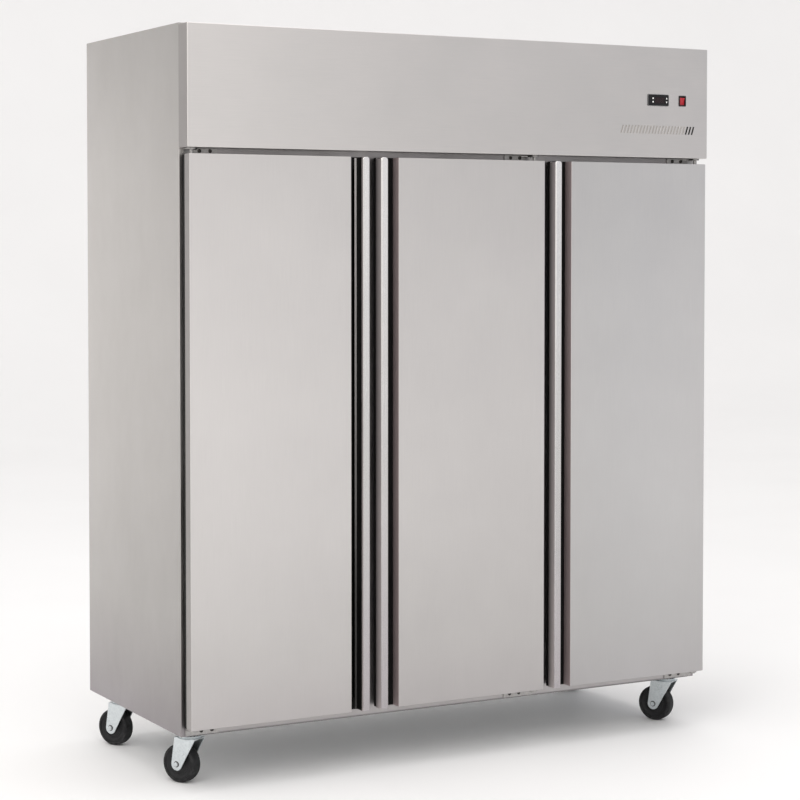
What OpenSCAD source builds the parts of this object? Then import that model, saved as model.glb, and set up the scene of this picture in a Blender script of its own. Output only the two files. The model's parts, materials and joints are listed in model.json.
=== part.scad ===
// Three-door reach-in refrigerator on swivel casters, with its cooling unit on top.
// Millimetres. +X is the viewer's right, the doors face -Y, +Z is up and z = 0 is the floor.
// The origin is the centre of the footprint of the whole cabinet, doors included.

/* [Cabinet] */
// Width over the side panels
cab_w = 1640; // [1560:10:1720]
// Depth of a side panel, front edge to back
cab_d = 670; // [640:5:700]
// Height of a side panel
cab_h = 1850; // [1800:10:1950]
// Thickness of the foamed walls
wall = 60; // [50:5:65]
// Thickness of the sheet metal
sheet = 0.8; // [0.6:0.1:1.2]
// Height of the header that hides the cooling unit
header_h = 317; // [290:1:340]

/* [Doors] */
// Width of each door
door_w = 521; // [500:1:530]
// Distance from the side panel's outer face to the outer door edge
door_inset = 5; // [3:1:8]
// Height of the doors' lower edge above the cabinet's underside
door_lift = 26; // [24:1:32]
// Gap between the header and the doors
door_gap = 16; // [15:1:20]
// Depth of a door from its face to the cabinet's front
door_t = 55; // [54:1:60]
// Width of the bright pull bar at the free edge
bar_w = 21; // [18:1:30]
// Width of the finger groove beside the bar
groove_w = 34; // [30:1:38]
// How far the pull bar stands proud of the door face
lip = 3; // [3:0.5:4]

/* [Interior] */
// Width of the posts between the door openings
mullion_w = 108; // [96:2:110]
// Depth of those posts
mullion_d = 56; // [40:2:60]
// Number of shelves behind each door
shelf_count = 3; // [2:1:3]
// Height of the lowest shelf above the floor
shelf_first = 470; // [420:10:500]
// Distance from one shelf to the next
shelf_pitch = 330; // [300:10:340]

/* [Casters] */
// Height from the floor to the cabinet's underside
caster_h = 140; // [140:1:150]
// Radius of a caster wheel
wheel_r = 51; // [45:1:52]
// Width of the tread
tread_w = 34; // [28:1:34]
// Horizontal distance from the swivel axis to the axle
trail = 28; // [20:1:30]
// Direction in which the casters trail, from straight back
caster_turn = 30; // [0:0.1:32]

/* [Hidden] */
$fn = 64;

steel = "#bfbbb7";
bright = "#dcdad7";
zinc = "#c9ced0";
black = "#141414";
foam = "#e6dfc0";
copper = "#b8734a";
grey = "#8d8a86";

// Cabinet planes
half_w = cab_w / 2;
depth = cab_d + door_t + lip;
y_back = depth / 2;
y_face = y_back - cab_d;
y_door = y_face - door_t;
z_base = caster_h;
z_top = caster_h + cab_h;
flange = 20;                        // width of the folded edges of the outer panels
pad_t = 4;                          // thickness of the caster reinforcements

// Insulated box
z_deck = z_top - 4 - header_h;      // underside of the header, top of the insulated box
x_in = half_w - wall;               // liner's outer faces
y_in = y_back - wall - sheet;
z_in_low = z_base + 65;
z_in_high = z_deck - wall - 1;
port = [319, 170];                  // where the refrigerant pipes pass through the roof
port_r = 20;

// Doors: hinge edge, and 1 where the hinge is on the right
edge_gap = (cab_w - 2 * door_inset - 3 * door_w) / 2;
hinge_edge = [-half_w + door_inset, door_w / 2, half_w - door_inset];
hinge_right = [0, 1, 1];
z_door_low = z_base + door_lift;
z_door_high = z_deck - door_gap;
door_h = z_door_high - z_door_low;
pan_d = 30;                         // depth of the steel part of a door's edge
frame_d = 12;                       // depth of the black frame behind it
groove_d = pan_d + 5;
face_w = door_w - bar_w - groove_w;
rim = 34;                           // width of the black frame's plain sides
gasket_w = 20;
gasket_hinge = 16;                  // gasket's distance from the hinge edge, so that it clears as it turns
gasket_free = 3;                    // and from the free edge
gasket_end = 10;                    // and from the top and bottom
gasket_gap = 0.4;                   // air left between gasket and cabinet
bar_round = 4;                      // radius of the bar's outer fold
bar_corner = 6;                     // and of its top corners
pivot = [18, 27];                   // hinge axis, from the hinge edge and from the face
pin_r = 5;
running = 0.06;                     // radial clearance of turning fits
bush_r = 9;
bush_h = 26;

// Posts between the openings
mullion_x = door_w / 2 + edge_gap / 2;

// Header fittings
ctrl_x = half_w - 175;
switch_x = half_w - 89.5;
fitting_z = z_base + 1694;
key_r = 3.2;
slot_count = 24;
slot_pitch = 10.75;
slot_w = 4.5;
slot_h = 22;
slot_lean = 7;
slot_x = half_w - 305;
slot_z = z_base + 1598;
open_slots = 3;                     // slots at the right end with no baffle behind them

// Cooling unit on the deck
tray_t = 2;
tray_z = z_deck + tray_t;
tray_half = [380, 245];
tray_lip = 22;
comp_foot = [98, 68];               // offset of the compressor's rubber feet
comp = [-200, 40];
comp_r = 85;
comp_h = 190;
cond_x = [20, 320];
cond_y = [-235, -175];
cond_h = 240;
cond_fan_r = 102;
cond_fan_z = tray_z + cond_h / 2;
shroud_d = 50;

// Evaporator under the roof of the cold space
evap_half = 340;
evap_y = 40;
evap_z = z_in_high - 147;
evap_fan_x = 170;
evap_fan_z = z_in_high - 73;
evap_fan_r = 72;

// Casters
caster_x = half_w - 54;
caster_y = [y_face + 66, y_face + 545];
pad_x = half_w - 55;                // centre of the reinforcements above the casters
pad_half = [54, 52];
plate_t = 4;
race_r = 31;
yoke_z = caster_h - 20;             // underside of the fork's crown
fork_in = tread_w / 2 + 4;
fork_t = 3;
axle_r = 6;

// A plain box from its low corner to its high corner
module block(a, b) {
  translate(a) cube(b - a);
}

// A box with round vertical edges
module round_block(a, b, r) {
  size = b - a;
  translate(a) union() {
    translate([r, 0, 0]) cube([size.x - 2 * r, size.y, size.z]);
    translate([0, r, 0]) cube([size.x, size.y - 2 * r, size.z]);
    for (x = [r, size.x - r], y = [r, size.y - r])
      translate([x, y, 0]) cylinder(h = size.z, r = r);
  }
}

// A cylinder along Y that starts at y = 0
module rod_y(r, h) {
  rotate([-90, 0, 0]) cylinder(h = h, r = r);
}

// ---- Cabinet shell ----

module side_panel() {
  color(steel) {
    block([-half_w, y_face, z_base], [-half_w + sheet, y_back, z_top]);
    block([-half_w, y_face, z_base], [-half_w + flange, y_face + sheet, z_top]);
    block([-half_w, y_back - sheet, z_base], [-half_w + flange, y_back, z_top]);
    block([-half_w, y_face, z_base], [-half_w + flange, y_back, z_base + sheet]);
  }
}

module side_panel_left() side_panel();

module side_panel_right() mirror([1, 0, 0]) side_panel();

louvre_x = [-420, -110, 200];
louvre_rows = 12;
louvre_pitch = 18;
louvre_size = [220, 8];
louvre_z = z_deck + 60;
gland = [590, z_deck + 60];
gland_r = 11;

module back_panel() {
  color(steel) difference() {
    block([-half_w + flange, y_back - sheet, z_base], [half_w - flange, y_back, z_top]);
    for (x = louvre_x, row = [0 : louvre_rows - 1])
      translate([x, y_back - 2 * sheet, louvre_z + row * louvre_pitch])
        cube([louvre_size[0], 3 * sheet, louvre_size[1]]);
    translate([gland[0], y_back - 2 * sheet, gland[1]]) rod_y(gland_r + 0.5, 3 * sheet);
  }
}

module base_panel() {
  color(grey) {
    block([-half_w + flange, y_face + sheet, z_base],
          [half_w - flange, y_back - sheet, z_base + sheet]);
    for (side = [-1, 1], y = caster_y)
      translate([side * pad_x - pad_half.x, y - pad_half.y, z_base + sheet])
        cube([2 * pad_half.x, 2 * pad_half.y, pad_t]);
  }
}

module roof_panel() {
  color(steel) difference() {
    block([-half_w + sheet, y_face + sheet, z_deck - sheet],
          [half_w - sheet, y_back - sheet, z_deck]);
    translate([port[0], port[1], z_deck - 5]) cylinder(h = 10, r = port_r);
  }
}

module cabinet_insulation() {
  color(foam) difference() {
    block([-half_w + sheet, y_face + sheet, z_base + sheet + pad_t],
          [half_w - sheet, y_back - sheet, z_deck - sheet]);
    block([-x_in, y_face - 1, z_in_low], [x_in, y_in, z_in_high]);
    translate([port[0], port[1], z_in_high - 5]) cylinder(h = 80, r = port_r);
  }
}

module inner_liner() {
  color(bright) difference() {
    block([-x_in, y_face + sheet, z_in_low], [x_in, y_in, z_in_high]);
    block([-x_in + sheet, y_face - 1, z_in_low + sheet],
          [x_in - sheet, y_in - sheet, z_in_high - sheet]);
    translate([port[0], port[1], z_in_high - 5]) cylinder(h = 10, r = port_r);
  }
}

module face_frame() {
  color(steel) difference() {
    block([-half_w + flange, y_face, z_base], [half_w - flange, y_face + sheet, z_deck]);
    block([-x_in + sheet, y_face - 1, z_in_low + sheet],
          [x_in - sheet, y_face + 2, z_in_high - sheet]);
  }
}

module mullions() {
  color(steel) for (side = [-1, 1]) difference() {
    block([side * mullion_x - mullion_w / 2, y_face, z_in_low + sheet],
          [side * mullion_x + mullion_w / 2, y_face + mullion_d, z_in_high - sheet]);
    block([side * mullion_x - mullion_w / 2 + 2, y_face + 2, z_in_low - 1],
          [side * mullion_x + mullion_w / 2 - 2, y_face + mullion_d - 2, z_in_high + 1]);
  }
}

// ---- Header and its fittings ----

module slot(i) {
  translate([slot_x + i * slot_pitch, y_door + 2 * sheet, slot_z]) rotate([90, 0, 0])
    linear_extrude(3 * sheet)
      polygon([[0, 0], [slot_w, 0], [slot_w + slot_lean, slot_h], [slot_lean, slot_h]]);
}

module header_panel() {
  first_open = slot_x + (slot_count - open_slots) * slot_pitch - (slot_pitch - slot_w) / 2;
  margin = 4;
  shift = margin * slot_lean / slot_h;
  color(bright) {
    difference() {
      block([-half_w, y_door, z_deck], [half_w, y_face, z_top - 4]);
      block([-half_w + sheet, y_door + sheet, z_deck + sheet],
            [half_w - sheet, y_face + 1, z_top - 4 - sheet]);
      block([ctrl_x - 35.5, y_door - 1, fitting_z - 14.5],
            [ctrl_x + 35.5, y_door + 2, fitting_z + 14.5]);
      block([switch_x - 11, y_door - 1, fitting_z - 13.8],
            [switch_x + 11, y_door + 2, fitting_z + 13.8]);
      for (i = [0 : slot_count - 1]) slot(i);
    }
    translate([0, y_door + 2 * sheet, slot_z]) rotate([90, 0, 0]) linear_extrude(sheet)
      polygon([[slot_x - 8, -margin], [first_open - shift, -margin],
               [first_open + slot_lean + shift, slot_h + margin], [slot_x - 8, slot_h + margin]]);
  }
}

// Keys: offset from the controller's centre
key_at = [[-19, 5], [-19, -5], [28.5, 5], [28.5, -5]];
bezel_t = 2;
key_proud = 0.6;

module key(i) {
  color("#e8e8e4")
    translate([ctrl_x + key_at[i][0], y_door - bezel_t - key_proud, fitting_z + key_at[i][1]])
      rod_y(key_r, 6);
}

module controller() {
  color(black) difference() {
    union() {
      translate([ctrl_x, y_door, fitting_z]) rotate([90, 0, 0])
        round_block([-37.5, -17.25, 0], [37.5, 17.25, bezel_t], 3);
      block([ctrl_x - 35.3, y_door - 0.5, fitting_z - 14.3],
            [ctrl_x + 35.3, y_door + 58, fitting_z + 14.3]);
    }
    for (k = key_at)
      translate([ctrl_x + k[0], y_door - bezel_t - 1, fitting_z + k[1]])
        rod_y(key_r + running, 9);
    block([ctrl_x - 12, y_door - bezel_t - 1, fitting_z - 9],
          [ctrl_x + 22, y_door - bezel_t + 0.5, fitting_z + 9]);
  }
}

module key_set() key(0);
module key_defrost() key(1);
module key_up() key(2);
module key_down() key(3);

// Rocker switch: the rocker turns on a pin across the housing
rocker_y = y_door + 7;
rocker_half = 10.5;
rocker_half_w = 8.5;
rocker_rest = 9;                    // degrees that it is tipped at rest

module switch_housing() {
  color(black) difference() {
    union() {
      translate([switch_x, y_door, fitting_z]) rotate([90, 0, 0])
        round_block([-12.75, -15.5, 0], [12.75, 15.5, bezel_t], 2);
      block([switch_x - 10.8, y_door - 0.5, fitting_z - 13.6],
            [switch_x + 10.8, y_door + 30, fitting_z + 13.6]);
    }
    translate([switch_x - rocker_half_w - 0.3, rocker_y, fitting_z]) rotate([0, 90, 0])
      cylinder(h = 2 * rocker_half_w + 0.6, r = 12.8);
    translate([switch_x - rocker_half_w - 1.6, rocker_y, fitting_z]) rotate([0, 90, 0])
      cylinder(h = 2 * rocker_half_w + 3.2, r = 1.5 + running);
  }
}

module switch_rocker() {
  color("#c01820") translate([switch_x, rocker_y, fitting_z]) rotate([rocker_rest, 0, 0]) {
    rotate([90, 0, 90]) translate([0, 0, -rocker_half_w]) linear_extrude(2 * rocker_half_w)
      polygon([[-6.6, -rocker_half], [-4.8, 0], [-6.6, rocker_half],
               [-2, rocker_half], [5, 4], [5, -4], [-2, -rocker_half]]);
    translate([-rocker_half_w - 1.5, 0, 0]) rotate([0, 90, 0])
      cylinder(h = 2 * rocker_half_w + 3, r = 1.5);
  }
}

// ---- Cooling unit ----

// A run of tube through axis-aligned points, with round elbows
module tube_run(points, r, bend) {
  last = len(points) - 1;
  for (i = [0 : last - 1]) {
    way = points[i + 1] - points[i];
    unit = way / norm(way);
    start = i == 0 ? 0 : bend;
    stop = i == last - 1 ? norm(way) : norm(way) - bend;
    across = abs(unit.z) > 0.5 ? [1, 0, 0] : [0, 0, 1];
    other = cross(unit, across);
    multmatrix([[across.x, other.x, unit.x, points[i].x],
                [across.y, other.y, unit.y, points[i].y],
                [across.z, other.z, unit.z, points[i].z],
                [0, 0, 0, 1]])
      translate([0, 0, start]) cylinder(h = stop - start, r = r);
  }
  for (i = [1 : last - 1]) {
    a = (points[i] - points[i - 1]) / norm(points[i] - points[i - 1]);
    b = (points[i + 1] - points[i]) / norm(points[i + 1] - points[i]);
    n = cross(a, b);
    centre = points[i] - bend * a + bend * b;
    multmatrix([[-b.x, a.x, -n.x, centre.x],
                [-b.y, a.y, -n.y, centre.y],
                [-b.z, a.z, -n.z, centre.z],
                [0, 0, 0, 1]])
      rotate_extrude(angle = 90) translate([bend, 0]) circle(r = r);
  }
}

// An axial fan on +Z: a hub with flat pitched blades trimmed to a circle
module fan(r, hub, height, blades, chord, pitch, bore) {
  difference() {
    union() {
      cylinder(h = height, r = hub);
      intersection() {
        cylinder(h = height, r = r);
        for (i = [0 : blades - 1])
          rotate([0, 0, i * 360 / blades]) translate([hub * 0.7, 0, height / 2])
            rotate([pitch, 0, 0]) translate([0, -chord / 2, -1]) cube([r, chord, 2]);
      }
    }
    translate([0, 0, -1]) cylinder(h = height + 2, r = bore);
  }
}

module unit_base() {
  color(zinc) {
    difference() {
      block([-tray_half.x, -tray_half.y, z_deck], [tray_half.x, tray_half.y, tray_z]);
      translate([port[0], port[1], z_deck - 1]) cylinder(h = tray_t + 2, r = port_r);
    }
    for (x = [-tray_half.x, tray_half.x - tray_t])
      block([x, -tray_half.y, z_deck], [x + tray_t, tray_half.y, tray_z + tray_lip]);
  }
}

// Half of the round-ended outline of a can
module can_outline(r, h, corner) {
  union() {
    square([r - corner, h]);
    translate([0, corner]) square([r, h - 2 * corner]);
    for (z = [corner, h - corner]) translate([r - corner, z]) intersection() {
      circle(r = corner);
      translate([-corner, -corner]) square([2 * corner, 2 * corner]);
    }
  }
}

module compressor() {
  foot_h = 10;
  foot_z = tray_z + foot_h;
  color("#1b1b1c") {
    translate([comp.x, comp.y, foot_z + 3]) {
      rotate_extrude() can_outline(comp_r, comp_h, 40);
      translate([0, 0, comp_h / 2 - 4]) cylinder(h = 8, r = comp_r + 3);
      translate([-24, -comp_r - 26, 60]) cube([48, 40, 52]);
    }
    difference() {
      translate([comp.x - 110, comp.y - 80, foot_z]) cube([220, 160, 3]);
      for (x = [-1, 1], y = [-1, 1])
        translate([comp.x + x * comp_foot.x, comp.y + y * comp_foot.y, foot_z - 1])
          cylinder(h = 5, r = 5);
    }
    for (x = [-1, 1], y = [-1, 1])
      translate([comp.x + x * comp_foot.x, comp.y + y * comp_foot.y, tray_z])
        cylinder(h = foot_h, r = 12);
  }
}

module condenser() {
  mid_x = (cond_x[0] + cond_x[1]) / 2;
  shroud_y = cond_y[1];
  plate_y = shroud_y + shroud_d;
  color("#2a2c2d") {
    difference() {
      block([cond_x[0], cond_y[0], tray_z], [cond_x[1], shroud_y, tray_z + cond_h]);
      for (side = [[cond_y[0] - 1, cond_y[0] + 6], [shroud_y - 6, shroud_y + 1]])
        block([cond_x[0] + 10, side[0], tray_z + 10],
              [cond_x[1] - 10, side[1], tray_z + cond_h - 10]);
    }
    difference() {
      block([cond_x[0], shroud_y, tray_z], [cond_x[1], plate_y, tray_z + cond_h]);
      block([cond_x[0] + 1.5, shroud_y - 1, tray_z + 1.5],
            [cond_x[1] - 1.5, plate_y - 1.5, tray_z + cond_h - 1.5]);
      translate([mid_x, plate_y - 3, cond_fan_z]) rod_y(cond_fan_r + 6, 6);
    }
    for (x = [mid_x - 130, mid_x + 110])
      block([x, plate_y, cond_fan_z - 10], [x + 20, plate_y + 22, cond_fan_z + 10]);
    block([mid_x - 130, plate_y + 22, cond_fan_z - 10], [mid_x + 130, plate_y + 26, cond_fan_z + 10]);
    translate([mid_x, plate_y + 26, cond_fan_z]) rod_y(36, 66);
    translate([mid_x, plate_y - 24, cond_fan_z]) rod_y(4, 50);
  }
}

module condenser_fan() {
  color(grey)
    translate([(cond_x[0] + cond_x[1]) / 2, cond_y[1] + shroud_d - 26, cond_fan_z])
      rotate([-90, 0, 0]) fan(cond_fan_r, 26, 30, 5, 74, 26, 4 + running);
}

module refrigerant_pipes() {
  seam = 0.1;
  left = cond_x[0] - seam;
  mid_y = (cond_y[0] + cond_y[1]) / 2;
  coil_end = 281.5 + seam;
  color(copper) {
    tube_run([[comp.x + comp_r + 3 + seam, comp.y, tray_z + 109], [-50, comp.y, tray_z + 109],
              [-50, comp.y, tray_z + 210], [-50, mid_y, tray_z + 210],
              [left, mid_y, tray_z + 210]], 4, 14);
    tube_run([[left, mid_y, tray_z + 30], [-20, mid_y, tray_z + 30], [-20, 170, tray_z + 30],
              [312, 170, tray_z + 30], [312, 170, evap_z + 100],
              [coil_end, 170, evap_z + 100]], 4, 12);
    translate([-20, -120, tray_z + 30]) rod_y(12, 110);
    tube_run([[coil_end, 170, evap_z + 35], [326, 170, evap_z + 35], [326, 170, tray_z + 60],
              [comp.x, 170, tray_z + 60], [comp.x, comp.y + comp_r + seam, tray_z + 60]], 6, 16);
  }
}

module electrical_box() {
  back = y_back - sheet;
  color(zinc) difference() {
    union() {
      block([500, back - 110, z_deck], [680, back, z_deck + 100]);
      block([497, back - 113, z_deck + 96], [683, back, z_deck + 102]);
      translate([gland[0], back - 2, gland[1]]) rod_y(gland_r, sheet + 2);
    }
    translate([gland[0], back - 60, gland[1]]) rod_y(5.5, 70);
  }
}

// ---- Evaporator ----

module evaporator_coil() {
  color("#c6cacc") {
    block([-280, 120, evap_z + 15], [280, 220, evap_z + 130]);
    for (x = [-281.5, 280]) block([x, 114, evap_z + 10], [x + 1.5, 226, evap_z + 135]);
    for (side = [-1, 1], z = [30, 60, 90])
      translate([side * 281.5, 195, evap_z + z]) rotate([90, 0, 0])
        rotate_extrude(angle = side * 180, start = side * -90)
          translate([12, 0]) circle(r = 4);
  }
}

module evaporator_housing() {
  high = z_in_high - sheet;
  t = 1.5;
  color(bright) {
    difference() {
      block([-evap_half, evap_y, evap_z], [evap_half, y_in - sheet, high]);
      block([-evap_half + t, evap_y + t, evap_z + t], [evap_half - t, y_in, high + 1]);
      for (side = [-1, 1])
        translate([side * evap_fan_x, evap_y - 1, evap_fan_z]) rod_y(evap_fan_r + 4, 5);
      for (i = [-5 : 5])
        translate([i * 50 - 4, evap_y + 200, evap_z - 1]) cube([8, 50, 5]);
    }
    for (side = [-1, 1]) translate([side * evap_fan_x, 0, 0]) {
      block([-6, evap_y + 44, evap_z + t], [6, evap_y + 50, high]);
      translate([0, evap_y + 40, evap_fan_z]) rod_y(22, 34);
      translate([0, evap_y + 12, evap_fan_z]) rod_y(3, 30);
    }
  }
}

module evaporator_fan(side) {
  color(black) translate([side * evap_fan_x, evap_y + 10, evap_fan_z])
    rotate([-90, 0, 0]) fan(evap_fan_r, 18, 22, 5, 54, 26, 3 + running);
}

module evaporator_fan_left() evaporator_fan(-1);
module evaporator_fan_right() evaporator_fan(1);

// ---- Shelves ----

shelf_z = [for (i = [0 : shelf_count - 1]) shelf_first + i * shelf_pitch];
shelf_y = [-222, 282];
post_y = [y_face + mullion_d, y_in - sheet];
rail_t = 8;
clip = 14;

// Low and high X of the shelf behind each door
shelf_x = [[-x_in + 12, -mullion_x - 6], [-mullion_x + 6, mullion_x - 6],
           [mullion_x + 6, x_in - 12]];

module shelf_rails() {
  low = z_in_low + 25;
  high = evap_z - 20;
  color(bright) {
    // Upright strips on the side walls
    for (side = [0, 1]) mirror([side, 0, 0]) for (y = [-200, 240]) {
      block([-x_in + sheet, y, low], [-x_in + sheet + rail_t, y + 20, high]);
      for (z = shelf_z) block([-x_in + sheet, y, z - 8], [-x_in + sheet + rail_t + clip, y + 20, z]);
    }
    // Upright strips behind the posts and on the back wall
    for (side = [-1, 1]) {
      block([side * mullion_x - 10, post_y[0], low], [side * mullion_x + 10, post_y[0] + rail_t, high]);
      block([side * mullion_x - 10, post_y[1] - rail_t, low], [side * mullion_x + 10, post_y[1], high]);
      for (z = shelf_z) {
        block([side * mullion_x - 24, post_y[0], z - 8], [side * mullion_x + 24, -206, z]);
        block([side * mullion_x - 24, 262, z - 8], [side * mullion_x + 24, post_y[1], z]);
      }
    }
  }
}

// Three wire shelves: a frame of bars with thin bars laid across it
module shelves(bay) {
  bar = 7;
  wire = 4;
  low = shelf_x[bay][0];
  high = shelf_x[bay][1];
  wires = floor((high - low) / 30);
  step = (high - low - bar) / wires;
  color(zinc) for (z = shelf_z) {
    difference() {
      block([low, shelf_y[0], z], [high, shelf_y[1], z + bar]);
      block([low + bar, shelf_y[0] + bar, z - 1], [high - bar, shelf_y[1] - bar, z + bar + 1]);
    }
    for (i = [1 : wires - 1])
      block([low + i * step + 1.5, shelf_y[0] + 1, z + bar - wire],
            [low + i * step + 1.5 + wire, shelf_y[1] - 1, z + bar]);
    for (y = [-60, 120]) block([low + 1, y, z], [high - 1, y + bar, z + bar - wire + 1]);
  }
}

module shelves_left() shelves(0);
module shelves_middle() shelves(1);
module shelves_right() shelves(2);

// ---- Doors ----

// Puts a door's pieces in place: x runs from the hinge edge, y back from the door's face
module at_door(i) {
  translate([hinge_edge[i], y_door, 0]) mirror([hinge_right[i], 0, 0]) children();
}

module hinge_pins(z, h) {
  for (i = [0 : 2]) at_door(i) translate([pivot.x, pivot.y, z]) cylinder(h = h, r = pin_r);
}

bracket_w = 95;
bracket_out = 12;
arm_w = 40;

// A folded plate on the cabinet's front with an arm that carries the pin
module bracket(i, leg, arm) {
  at_door(i) difference() {
    union() {
      block([pivot.x - bracket_out, door_t - 3, leg[0]],
            [pivot.x - bracket_out + bracket_w, door_t, leg[1]]);
      block([pivot.x - bracket_out, pivot.y, arm[0]],
            [pivot.x - bracket_out + arm_w, door_t, arm[1]]);
      translate([pivot.x, pivot.y, arm[0]]) cylinder(h = arm[1] - arm[0], r = bracket_out);
    }
  }
  at_door(i) for (x = [45, 75])
    translate([pivot.x - bracket_out + x, door_t - 5.5, (leg[0] + leg[1]) / 2]) rod_y(4, 3);
}

module hinge_brackets_top() {
  color(grey) {
    for (i = [0 : 2])
      bracket(i, [z_door_high + 1.5, z_deck - 0.5], [z_deck - 4.5, z_deck - 0.5]);
    hinge_pins(z_door_high - 20, z_deck - 4 - z_door_high + 20);
  }
}

module hinge_brackets_bottom() {
  color(grey) {
    for (i = [0 : 2])
      bracket(i, [z_base + 3, z_door_low - 3.4], [z_door_low - 7.4, z_door_low - 3.4]);
    hinge_pins(z_door_low - 5, 25);
  }
}

// Bushes in the top and bottom of a door, and their space
module bushes(r) {
  translate([pivot.x, pivot.y, z_door_high - bush_h]) cylinder(h = bush_h, r = r);
  translate([pivot.x, pivot.y, z_door_low]) cylinder(h = bush_h, r = r);
}

module door_skin() {
  color(bright) difference() {
    block([0, 0, z_door_low], [face_w, groove_d, z_door_high]);
    block([sheet, sheet, z_door_low + sheet], [face_w - sheet, groove_d + 1, z_door_high - sheet]);
    block([-1, pan_d, z_door_low - 1], [face_w - sheet, groove_d + 1, z_door_high + 1]);
    translate([0, 0, -1]) bushes(bush_r + 0.1);
    translate([0, 0, 1]) bushes(bush_r + 0.1);
  }
}

module door_core() {
  color(foam) difference() {
    union() {
      block([sheet, sheet, z_door_low + sheet], [face_w - sheet, pan_d, z_door_high - sheet]);
      block([rim, pan_d, z_door_low + rim], [face_w - rim, pan_d + frame_d, z_door_high - rim]);
    }
    bushes(bush_r);
  }
}

// Outline of the pull bar, from above: square on the groove side, round on the outer corner
module bar_outline(cut, back) {
  low_x = door_w - bar_w + cut;
  high_x = door_w - cut;
  front = -lip + cut;
  r = bar_round - cut;
  union() {
    translate([low_x, front]) square([bar_w - 2 * cut - r, back - front]);
    translate([low_x, front + r]) square([high_x - low_x, back - front - r]);
    translate([high_x - r, front + r]) circle(r = r);
  }
}

module door_frame() {
  clear = 0.2;
  color(black) difference() {
    union() {
      difference() {
        block([0, pan_d, z_door_low], [face_w, pan_d + frame_d, z_door_high]);
        block([rim, pan_d - 1, z_door_low + rim],
              [face_w - rim, pan_d + frame_d + 1, z_door_high - rim]);
        block([face_w - rim - 1, pan_d - 1, z_door_low - 1], [face_w + 1, groove_d, z_door_high + 1]);
      }
      block([face_w - 1, groove_d, z_door_low], [door_w, pan_d + frame_d, z_door_high]);
      translate([0, 0, z_door_low + 1]) linear_extrude(door_h - 2)
        bar_outline(sheet + clear, groove_d + 1);
      bushes(bush_r);
      translate([pivot.x, pivot.y, z_door_low - 3]) cylinder(h = 3, r = bush_r + 3);
    }
    translate([pivot.x, pivot.y, z_door_high - bush_h + 4])
      cylinder(h = bush_h, r = pin_r + running);
    translate([pivot.x, pivot.y, z_door_low - 4]) cylinder(h = bush_h, r = pin_r + running);
  }
}

module door_liner() {
  back = pan_d + frame_d;
  low = [70, back, z_door_low + 64];
  high = [door_w - 54, back + 7, z_door_high - 64];
  skin = [sheet, sheet, sheet];
  color(bright) difference() {
    union() {
      block([gasket_hinge + gasket_w + 1, back, z_door_low + gasket_end + gasket_w + 1],
            [door_w - gasket_free - gasket_w - 1, back + sheet,
             z_door_high - gasket_end - gasket_w - 1]);
      block(low, high);
    }
    block(low + skin - [0, 2, 0], high - skin);
  }
}

// The gasket is a ring with a broad foot and a narrower bellows
module gasket_ring(inset, low, high) {
  difference() {
    block([gasket_hinge + inset, low, z_door_low + gasket_end + inset],
          [door_w - gasket_free - inset, high, z_door_high - gasket_end - inset]);
    block([gasket_hinge + gasket_w - inset, low - 1, z_door_low + gasket_end + gasket_w - inset],
          [door_w - gasket_free - gasket_w + inset, high + 1,
           z_door_high - gasket_end - gasket_w + inset]);
  }
}

module door_gasket() {
  foot = 3;
  back = pan_d + frame_d;
  color("#2b2b2b") {
    gasket_ring(0, back, back + foot);
    gasket_ring(3, back + foot - 0.5, door_t - gasket_gap);
  }
}

module door_handle() {
  round_x = [door_w - bar_w + bar_corner, door_w - bar_corner];
  color(bright) intersection() {
    translate([0, 0, z_door_low]) linear_extrude(door_h) difference() {
      bar_outline(0, pan_d - 2);
      bar_outline(sheet, pan_d);
      translate([door_w - bar_w - 1, 9 - lip]) square([bar_w / 2, pan_d]);
    }
    union() {
      block([door_w - bar_w - 1, -lip - 1, z_door_low - 1],
            [door_w + 1, pan_d, z_door_high - bar_corner]);
      block([round_x[0], -lip - 1, z_door_low], [round_x[1], pan_d, z_door_high + 1]);
      for (x = round_x)
        translate([x, -lip - 1, z_door_high - bar_corner]) rod_y(bar_corner, pan_d + 5);
    }
  }
}

module door_skin_left() at_door(0) door_skin();
module door_core_left() at_door(0) door_core();
module door_frame_left() at_door(0) door_frame();
module door_liner_left() at_door(0) door_liner();
module door_gasket_left() at_door(0) door_gasket();
module door_handle_left() at_door(0) door_handle();
module door_skin_middle() at_door(1) door_skin();
module door_core_middle() at_door(1) door_core();
module door_frame_middle() at_door(1) door_frame();
module door_liner_middle() at_door(1) door_liner();
module door_gasket_middle() at_door(1) door_gasket();
module door_handle_middle() at_door(1) door_handle();
module door_skin_right() at_door(2) door_skin();
module door_core_right() at_door(2) door_core();
module door_frame_right() at_door(2) door_frame();
module door_liner_right() at_door(2) door_liner();
module door_gasket_right() at_door(2) door_gasket();
module door_handle_right() at_door(2) door_handle();

// ---- Casters ----

plate_half = [46, 37];
bolt_at = [36, 28];

module caster_plates() {
  color(zinc) for (side = [-1, 1], y = caster_y) translate([side * caster_x, y, 0]) {
    difference() {
      union() {
        round_block([-plate_half.x, -plate_half.y, caster_h - plate_t],
                    [plate_half.x, plate_half.y, caster_h], 8);
        translate([0, 0, caster_h - 9]) cylinder(h = 9, r = race_r);
        translate([0, 0, yoke_z - 8]) cylinder(h = caster_h - yoke_z, r = axle_r);
        translate([0, 0, yoke_z - 8]) cylinder(h = 7.7, r = 10, $fn = 6);
      }
    }
    for (x = [-bolt_at.x, bolt_at.x], dy = [-bolt_at.y, bolt_at.y])
      translate([x, dy, caster_h - plate_t - 5]) cylinder(h = 5, r = 6, $fn = 6);
  }
}

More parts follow.
